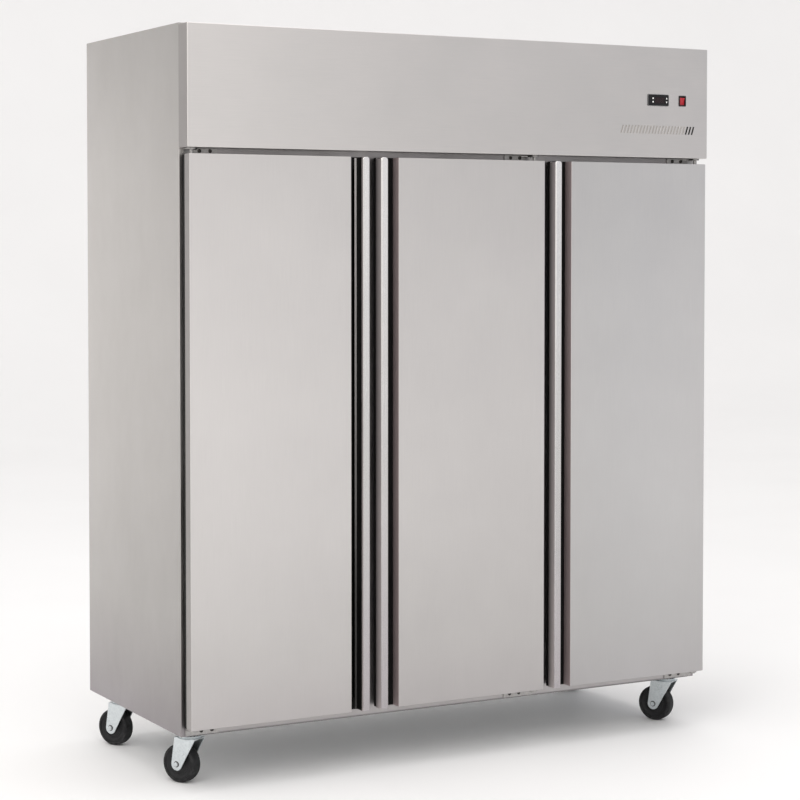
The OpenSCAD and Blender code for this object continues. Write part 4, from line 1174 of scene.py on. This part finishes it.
def guard(r, spokes, gap, wire=1.3):
    """A round wire guard in the XY plane: rings on radial spokes."""
    bm = bmesh.new()
    radius = r
    while radius > gap * 0.8:
        merge(bm, tube(raised(circle((0, 0), radius, 40), 0), wire, 8, True))
        radius -= gap
    for k in range(spokes):
        a = math.tau * (k + 0.5) / spokes
        merge(bm, tube([(6 * math.cos(a), 6 * math.sin(a), 1.6), (r * math.cos(a), r * math.sin(a), 1.6)],
                       wire, 8))
    merge(bm, lathe([(0, 0.2), (9, 0.2), (9, 2.4), (8, 3), (0, 3)], 24))
    return bm


def rod(radius, length, count):
    return lathe([(0, 0), (radius, 0), (radius, length), (0, length)], count)


def make_grommet():
    """The rubber edge of the hole where the pipes pass through the deck."""
    bm = lathe([(17.5, -1), (20, -1), (20, 3.2), (22.5, 3.4), (23, 4.2), (22, 5), (18, 5), (17.5, 4.2),
                (17.5, -1)], 32)
    bm.transform(at(319, 170, TRAY_Z - 1.5))
    finish_piece("pipe_grommet", bm, GASKET, "cabinet")


def make_compressor():
    """Two drawn shells welded at the belly, a foot plate, rubber mounts and a terminal cover."""
    place = at(*COMP, COMP_Z)
    bm = bmesh.new()
    shell = [(0, 0), (45, 0), (62, 3.5), (76, 13), (83, 27), (85, 42), (85, 89), (88, 90.2), (88, 94),
             (88, 98),
             (85, 99.2), (85, 148), (83, 163), (76, 177), (62, 186.5), (45, 190), (0, 190)]
    merge(bm, lathe(shell, 72), place=place)
    merge(bm, box((-23.5, -110, 60.5), (23.5, -72, 111.5), 4, 3), 1, place)
    clip = bent([(0, -111, 86), (0, -112.5, 86), (0, -112.5, 108), (0, -100, 116)], 4)
    merge(bm, tube(clip, 1.6, 8), 3, place)
    feet = [(x, y) for x in (-98, 98) for y in (-68, 68)]
    plate = slab(round_rect(-110, -80, 110, 80, 14, 6), [circle(foot, 5) for foot in feet], 3)
    merge(bm, plate, place=at(*COMP, COMP_Z - 3))
    for x, y in feet:
        mount = lathe([(5.2, 0), (12, 0), (12, 2.5), (9.6, 4), (9.6, 6), (12, 7.5), (12, 9.6), (5.2, 9.6)],
                      28)
        merge(bm, mount, 2, at(COMP[0] + x, COMP[1] + y, TRAY_Z))
        merge(bm, hex_head(6.5, 4), 3, at(COMP[0] + x, COMP[1] + y, COMP_Z))
    finish_piece("compressor_can", bm, [COMPRESSOR, HUB, GASKET, ZINC], "cabinet", ["compressor"])


def condenser_core(bm):
    """End plates, top and bottom plates, and fins on straight copper tubes."""
    (low, high), (y0, y1) = COND_X, COND_Y
    for x in (low, high - 1.5):
        merge(bm, box((x, y0, TRAY_Z), (x + 1.5, y1, TRAY_Z + COND_H), 0.4, 1))
    for z in (TRAY_Z, TRAY_Z + COND_H - 1.5):
        merge(bm, box((low, y0, z), (high, y1, z + 1.5), 0.4, 1))
    fins = 84
    for i in range(fins):
        x = low + 6 + i * (high - low - 12) / (fins - 1)
        merge(bm, box((x - 0.15, y0 + 5, TRAY_Z + 3), (x + 0.15, y1 - 5, TRAY_Z + COND_H - 3)), 1)
    for r in range(8):
        for c in range(2):
            z, y = TRAY_Z + 18 + r * 29, y0 + 18 + c * 24
            merge(bm, tube([(low + 0.5, y, z), (high - 0.5, y, z)], 4, 12), 2)


def condenser_shroud(bm):
    """The fan's box behind the fins: its walls, and a back with a rolled inlet."""
    (low, high), y1 = COND_X, COND_Y[1]
    hole = circle((COND_MID, COND_FAN_Z), 108, 72)
    back = slab(rect(low + 2, TRAY_Z + 2, high - 2, TRAY_Z + COND_H - 2), [hole], 1.5)
    merge(bm, back, 0, at(0, y1 + 48.5, 0) @ FRONT)
    lip = lathe([(108, 48.6), (107.2, 47.0), (106.8, 42), (106.8, 34), (108, 34), (108.2, 42), (108.8, 46.6),
                 (109.6, 48.6)], 72)
    merge(bm, lip, 0, at(COND_MID, y1, COND_FAN_Z) @ FRONT)
    wall = moulded((low, TRAY_Z, high, TRAY_Z + COND_H),
                   [(0, 0), (0, 48), (0.6, 49.6), (2, 50), (2, 48.5), (1.5, 48), (1.5, 0), (0, 0)], 3)
    merge(bm, wall, 0, at(0, y1, 0) @ FRONT)


def condenser_motor(bm):
    """A finned motor on a strap that is screwed to the shroud, with its shaft."""
    y1, half = COND_Y[1], 130
    strap = [(-half, 50), (-half, 76), (half, 76), (half, 50), (127, 50), (127, 72.6), (-127, 72.6),
             (-127, 50)]
    merge(bm, prism(strap, 20, 0.6, 2), 0, at(COND_MID, y1, COND_FAN_Z - 10))
    for way in (-1, 1):
        x = way * half - way * 10
        foot = box((x - 10, y1 + 50, COND_FAN_Z - 10), (x + 10, y1 + 52, COND_FAN_Z + 10), 0.5, 1)
        merge(bm, foot, 0, at(COND_MID, 0, 0))
        merge(bm, screw(4, 1.6), 3, at(COND_MID + way * 118, y1 + 52, COND_FAN_Z) @ turned(-90, "X"))
    motor = [(0, 0), (12, 0), (30, 2), (34, 5), (36, 9), (36, 26), (34.8, 27), (34.8, 39), (36, 40), (36, 57),
             (34, 61), (28, 64), (14, 66), (0, 66)]
    place = at(COND_MID, y1 + 76, COND_FAN_Z) @ FRONT
    merge(bm, lathe(motor, 56), 0, place)
    ribs = 14
    for k in range(ribs):
        rib = box((34.4, -1.1, 10), (36, 1.1, 25), 0.3, 1)
        merge(bm, rib, 0, place @ Matrix.Rotation(math.tau * k / ribs, 4, "Z"))
    merge(bm, rod(4, 50, 20), 3, at(COND_MID, y1 + 26, COND_FAN_Z) @ FRONT)


def make_condenser():
    bm = bmesh.new()
    condenser_core(bm)
    condenser_shroud(bm)
    condenser_motor(bm)
    finish_piece("condenser_block", bm, [SHROUD, ALUMINIUM, COPPER, ZINC], "cabinet", ["condenser"])
    bm = fan_wheel(101.5, 26, 30, 5, 4.1)
    bm.transform(at(COND_MID, COND_Y[1] + 24, COND_FAN_Z) @ turned(-90, "X"))
    finish_piece("condenser_fan_wheel", bm, FAN, "condenser_rotor", ["condenser_fan"])


def make_pipes():
    """The discharge pipe, the liquid pipe with its drier, and the suction pipe, with brazed collars."""
    left, mid_y, coil, run_y = COND_X[0] - 0.1, sum(COND_Y) / 2, COIL_X + 0.1, 170
    shell_x, shell_y = -111.9, 125.1
    bend_x = -50
    discharge = [(shell_x, COMP[1], DISCHARGE_Z), (bend_x, COMP[1], DISCHARGE_Z),
                 (bend_x, COMP[1], COND_TOP_Z),
                 (bend_x, mid_y, COND_TOP_Z), (left, mid_y, COND_TOP_Z)]
    liquid = [(left, mid_y, LIQUID_Z), (-20, mid_y, LIQUID_Z), (-20, run_y, LIQUID_Z), (312, run_y, LIQUID_Z),
              (312, run_y, EVAP_Z + 100), (coil, run_y, EVAP_Z + 100)]
    suction = [(coil, run_y, EVAP_Z + 35), (326, run_y, EVAP_Z + 35), (326, run_y, SUCTION_Z),
               (COMP[0], run_y, SUCTION_Z), (COMP[0], shell_y, SUCTION_Z)]
    bm = tube(bent(discharge, 14), 4, 14)
    merge(bm, tube(bent(liquid, 12), 4, 14))
    merge(bm, tube(bent(suction, 16), 6, 16))
    drier = lathe([(4, 0), (6, 1), (9, 4), (11.6, 10), (12, 14), (12, 96), (11.6, 100), (9, 106), (6, 109),
                   (4, 110)], 32)
    merge(bm, drier, 0, at(-20, -120, LIQUID_Z) @ turned(-90, "X"))
    for spot, way in ((discharge[0], (1, 0, 0)), (suction[-1], (0, 1, 0)), (discharge[-1], (-1, 0, 0)),
                      (liquid[0], (-1, 0, 0))):
        collar = lathe([(4, 0), (8.4, 0), (8.4, 1.2), (7.2, 4.5), (6.4, 9), (4, 9)], 24)
        merge(bm, collar, 0, along(way, spot))
    finish_piece("copper_pipes", bm, COPPER, "cabinet", ["refrigerant_pipes"], smooth=60)


def make_electrical_box():
    """A box with a lipped lid, screws and a cable gland that shows through the back panel."""
    back = Y_BACK - SHEET
    bm = box((500, back - 110, Z_DECK), (680, back, Z_DECK + 95.8), 3, 3)
    lid = moulded((497, back - 113, 683, back), [(0, 0), (0, 4.6), (0.5, 5.6), (1.6, 6.0)], 4, (True, True))
    merge(bm, lid, 0, at(0, 0, Z_DECK + 96))
    for x in (506, 674):
        for y in (back - 104, back - 9):
            merge(bm, screw(3.6, 1.4), 1, at(x, y, Z_DECK + 100.6))
    ring = lathe([(5.6, 0), (6.4, -0.7), (9.6, -0.8), (10.8, 0.1), (11, 2.7), (5.6, 2.7), (5.6, 0)], 32)
    merge(bm, ring, 2, at(GLAND[0], Y_BACK - 0.85, GLAND[1]) @ BACK)
    finish_piece("control_box", bm, [BOX_GREY, ZINC, BLACK], "cabinet", ["electrical_box"])


# ---------------------------------------------------------------- evaporator

def make_evaporator_cover():
    """A folded cover with two fan openings, their guards and motors, and air slots underneath."""
    low, high, back, t, half = EVAP_Z, Z_IN[1] - SHEET, Y_IN - SHEET, 1.5, 340
    front = EVAP_FAN[1]
    fans = [(way * EVAP_FAN[0], EVAP_FAN[2]) for way in (-1, 1)]
    bm = slab(rect(-half, low + 2, half, high), [circle(spot, 76, 45) for spot in fans], t)
    bm.transform(at(0, front, 0) @ FRONT)
    slots = [round_rect(i * 50 - 4, front + 200, i * 50 + 4, front + 250, 3.9, 4) for i in range(-5, 6)]
    merge(bm, slab(rect(-half, front + 2, half, back), slots, t), place=at(0, 0, low))
    curve = arc((front + 3, low + 3), 3, 180, 270, 5) + arc((front + 3, low + 3), 1.5, 270, 180, 5)
    merge(bm, prism(curve, 2 * half), place=at(-half, 0, 0) @ LEFT)
    for x in (-half, half - t):
        merge(bm, box((x, front + 1, low + 1), (x + t, back, high), 0.5, 1))
    for x, z in fans:
        lip = lathe([(76, 0), (74.8, 1.5), (74.4, 5), (74.4, 14), (75.6, 14), (75.8, 5), (77, 1.5)], 56)
        merge(bm, lip, 0, at(x, front + 0.2, z) @ FRONT)
        merge(bm, box((x - 6, front + 44, low + t), (x + 6, front + 50, high), 1, 1))
        motor = lathe([(0, 0), (8, 0), (18, 1.2), (21, 3.5), (22, 7), (22, 27), (20.5, 31), (12, 34),
                       (0, 34)], 40)
        merge(bm, motor, 1, at(x, front + 40, z) @ FRONT)
        merge(bm, rod(3, 30, 16), 2, at(x, front + 12, z) @ FRONT)
        merge(bm, guard(75, 6, 11), 2, at(x, front - 3.2, z) @ FRONT)
        for a in range(45, 360, 90):
            spot = (x + 80 * math.cos(math.radians(a)), z + 80 * math.sin(math.radians(a)))
            if low + 8 < spot[1] < high - 6:
                merge(bm, screw(3.6, 1.5), 2, at(spot[0], front, spot[1]) @ turned(90, "X"))
    finish_piece("evaporator_cover", bm, [STEEL_LINER, HUB, CHROME], "cabinet", ["evaporator_housing"])


def make_evaporator_fans():
    for side, way in (("left", -1), ("right", 1)):
        bm = fan_wheel(71.5, 18, 22, 5, 3.1)
        bm.transform(at(way * EVAP_FAN[0], EVAP_FAN[1] + 10, EVAP_FAN[2]) @ turned(-90, "X"))
        finish_piece("evaporator_fan_wheel_" + side, bm, FAN, "evaporator_rotor_" + side,
                     ["evaporator_fan_" + side])


def make_coil():
    """Fins between end plates, on copper tubes with a hairpin at each end."""
    low, fins, mid_y = EVAP_Z, 110, 195
    bm = bmesh.new()
    for x in (-COIL_X, COIL_X - 1.5):
        merge(bm, box((x, 114, low + 10), (x + 1.5, 226, low + 135), 0.4, 1))
    for i in range(fins):
        x = -277 + i * 554 / (fins - 1)
        merge(bm, box((x - 0.15, 120, low + 15), (x + 0.15, 220, low + 130)))
    for z in (30, 60, 90):
        for y in (mid_y - 12, mid_y + 12):
            merge(bm, tube([(-281, y, low + z), (281, y, low + z)], 4, 12), 1)
        for way in (-1, 1):
            hairpin = [(way * (COIL_X + 12 * math.sin(a)), mid_y + 12 * math.cos(a), low + z)
                       for a in (math.pi * k / 12 for k in range(13))]
            merge(bm, tube(hairpin, 4, 12), 1)
    finish_piece("evaporator_fins", bm, [ALUMINIUM, COPPER], "cabinet", ["evaporator_coil"])


# ---------------------------------------------------------------- shelves

SHELF_Z = (470, 800, 1130)
SHELF_Y = (-222, 282)
RAIL_Z = (Z_IN[0] + 25, EVAP_Z - 20)
RAIL_W, RAIL_D = 20, 8


def rail():
    """A slotted channel along Y, whose slotted face looks along -Z."""
    tall, wall = RAIL_Z[1] - RAIL_Z[0], 0.8
    slots = [round_rect(8.4, z, 11.6, z + 14, 1.5, 3) for z in range(14, int(tall) - 20, 25)]
    part = slab(rect(wall, 0, RAIL_W - wall, tall), slots, wall)
    for x in (0, RAIL_W - wall):
        merge(part, box((x, 0, 0.3), (x + wall, tall, RAIL_D), 0.25, 1))
    return part


def make_rails():
    """Slotted channels on the walls and posts, with hook-in shelf clips."""
    bm = bmesh.new()
    hook = [(0, 0), (14, 0), (14, 3), (13.2, 3), (12.6, -1.6), (3, -6.5), (0, -7.5)]
    for way in (-1, 1):
        wall_x = way * (X_IN - SHEET - RAIL_D)
        for y in (-200, 240):
            merge(bm, rail(), None, at(wall_x, y, RAIL_Z[0]) @ (LEFT if way > 0 else RIGHT))
            for z in SHELF_Z:
                place = at(wall_x, y + 1, z - 3.1) @ Matrix.Diagonal((-way, 1, 1, 1)) @ FRONT
                merge(bm, prism(hook, 18, 0.4, 2), 1, place)
        post, back = way * POST_X, Y_IN - SHEET - RAIL_D
        for y, face, a, b in ((-242, -1, -242, -206), (back, 1, 262, back)):
            merge(bm, rail(), None,
                  at(post - RAIL_W / 2, y, RAIL_Z[0]) @ Matrix.Diagonal((1, face, 1, 1)) @ FRONT)
            for z in SHELF_Z:
                merge(bm, slab(round_rect(post - 24, a, post + 24, b, 2.5, 3), [], 1.5), 1, at(0, 0, z - 1.5))
                merge(bm, box((post - 1, a, z - 7.8), (post + 1, b, z - 1.4), 0.4, 1), 1)
    finish_piece("shelf_rail_channels", bm, [STEEL_LINER, ZINC], "cabinet", ["shelf_rails"])


def make_shelves(bay):
    """Wire shelves: a round rim, two cross bars and thin wires from front to back."""
    low, high = mm_box("shelves_" + bay)
    rim, spacing = 3.5, 30
    bm = bmesh.new()
    count = int((high.x - low.x) // spacing)
    step = (high.x - low.x - 2 * rim) / count
    outline = round_rect(low.x + rim, SHELF_Y[0] + rim, high.x - rim, SHELF_Y[1] - rim, 14, 6)
    for z in SHELF_Z:
        merge(bm, tube(raised(outline, z + rim), rim, 12, True))
        for i in range(1, count):
            x = low.x + i * step + rim
            merge(bm, tube([(x, SHELF_Y[0] + 2.5, z + 5), (x, SHELF_Y[1] - 2.5, z + 5)], 2, 8))
        for y in (-56.5, 123.5):
            merge(bm, tube([(low.x + 2.5, y, z + 1.8), (high.x - 2.5, y, z + 1.8)], 1.8, 8))
    finish_piece("wire_shelves_" + bay, bm, CHROME, "cabinet", ["shelves_" + bay], smooth=60)


# ---------------------------------------------------------------- studio

def make_floor():
    """A pale floor, in metres, that curves up behind the cabinet."""
    n = Nodes("studio_floor")
    n.set(Base_Color=n.mix(n.remap(n.noise(n.place, 0.8, 3.0), 0, 1), (0.93, 0.93, 0.93), (0.95, 0.95, 0.95)),
          Roughness=0.6, Specular_IOR_Level=0.2)
    curve = [(8 + 5 * math.sin(a), 5 - 5 * math.cos(a)) for a in (math.radians(10 * i) for i in range(1, 10))]
    bm = bmesh.new()
    edges = [[bm.verts.new((x, y, z)) for x in (-22, 22)] for y, z in [(-14, 0), (8, 0)] + curve + [(13, 14)]]
    for a, b in zip(edges, edges[1:]):
        bm.faces.new((a[0], a[1], b[1], b[0]))
    mesh = bpy.data.meshes.new("studio_sweep")
    bm.to_mesh(mesh)
    bm.free()
    mesh.materials.append(n.material)
    mesh.shade_smooth()
    floor = bpy.data.objects.new("studio_sweep", mesh)
    bpy.context.scene.collection.objects.link(floor)


def make_world():
    """Light from every side, which changes with the X of its direction.

    The side panel mirrors the back left of it, and the doors mirror the front right.
    """
    world = bpy.data.worlds.new("studio")
    bpy.context.scene.world = world
    world.use_nodes = True
    tree = world.node_tree
    place = tree.nodes.new("ShaderNodeTexCoord").outputs["Generated"]
    split = tree.nodes.new("ShaderNodeSeparateXYZ")
    tree.links.new(place, split.inputs["Vector"])
    ramp = tree.nodes.new("ShaderNodeValToRGB")
    mapped = tree.nodes.new("ShaderNodeMapRange")
    mapped.inputs["From Min"].default_value = -1.0
    tree.links.new(split.outputs["X"], mapped.inputs["Value"])
    tree.links.new(mapped.outputs["Result"], ramp.inputs["Fac"])
    stops = ramp.color_ramp.elements
    stops[0].position, stops[0].color = 0.0, (1.0, 0.98, 0.96, 1)
    stops[1].position, stops[1].color = 1.0, (0.56, 0.57, 0.60, 1)
    for spot, colour in ((0.66, (1.06, 1.03, 1.01, 1)), (0.80, (0.68, 0.685, 0.72, 1))):
        stops.new(spot).color = colour
    tree.links.new(ramp.outputs["Color"], tree.nodes["Background"].inputs["Color"])
    tree.nodes["Background"].inputs["Strength"].default_value = 1.0


def make_lights():
    for name, spot, aim, size, energy, colour in (
            ("key", (-4.2, -4.0, 4.4), (0, 0, 1.0), 3.0, 90, (1.0, 0.99, 0.97)),
            ("top", (0, -0.5, 5.2), (0, 0, 0), 4.0, 60, (1.0, 1.0, 1.0))):
        lamp = bpy.data.lights.new(name, "AREA")
        lamp.shape = "SQUARE"
        lamp.size, lamp.energy, lamp.color = size, energy, colour
        light = bpy.data.objects.new(name, lamp)
        light.matrix_world = along(Vector(spot) - Vector(aim), spot)
        bpy.context.scene.collection.objects.link(light)


def make_camera():
    """A long lens, a little above the middle of the cabinet and to its left."""
    lens = bpy.data.cameras.new("camera")
    lens.sensor_width = 36
    lens.lens = 95.616
    lens.shift_y = -0.10
    lens.clip_end = 100
    camera = bpy.data.objects.new("camera", lens)
    camera.location = (-2.955, -5.379, 1.426)
    camera.rotation_euler = (math.radians(90 - 2.098), 0, math.radians(-28.753))
    bpy.context.scene.collection.objects.link(camera)
    bpy.context.scene.camera = camera
    bpy.context.scene.view_settings.view_transform = "Standard"


for node, material in (("base_panel", GALVANISED), ("roof_panel", GALVANISED), ("unit_base", GALVANISED),
                       ("cabinet_insulation", FOAM)):
    dress(node, material)
make_side_panels()
make_back()
make_face_frame()
make_posts()
make_liner()
make_header()
make_filter()
make_controller()
make_keys()
make_switch()
make_rocker()
for side in SIDES:
    make_door(side)
    make_hinges(side)
    make_shelves(side)
for corner in CORNERS:
    make_caster(corner)
make_grommet()
make_compressor()
make_condenser()
make_pipes()
make_electrical_box()
make_evaporator_cover()
make_evaporator_fans()
make_coil()
make_rails()
make_floor()
make_world()
make_lights()
make_camera()
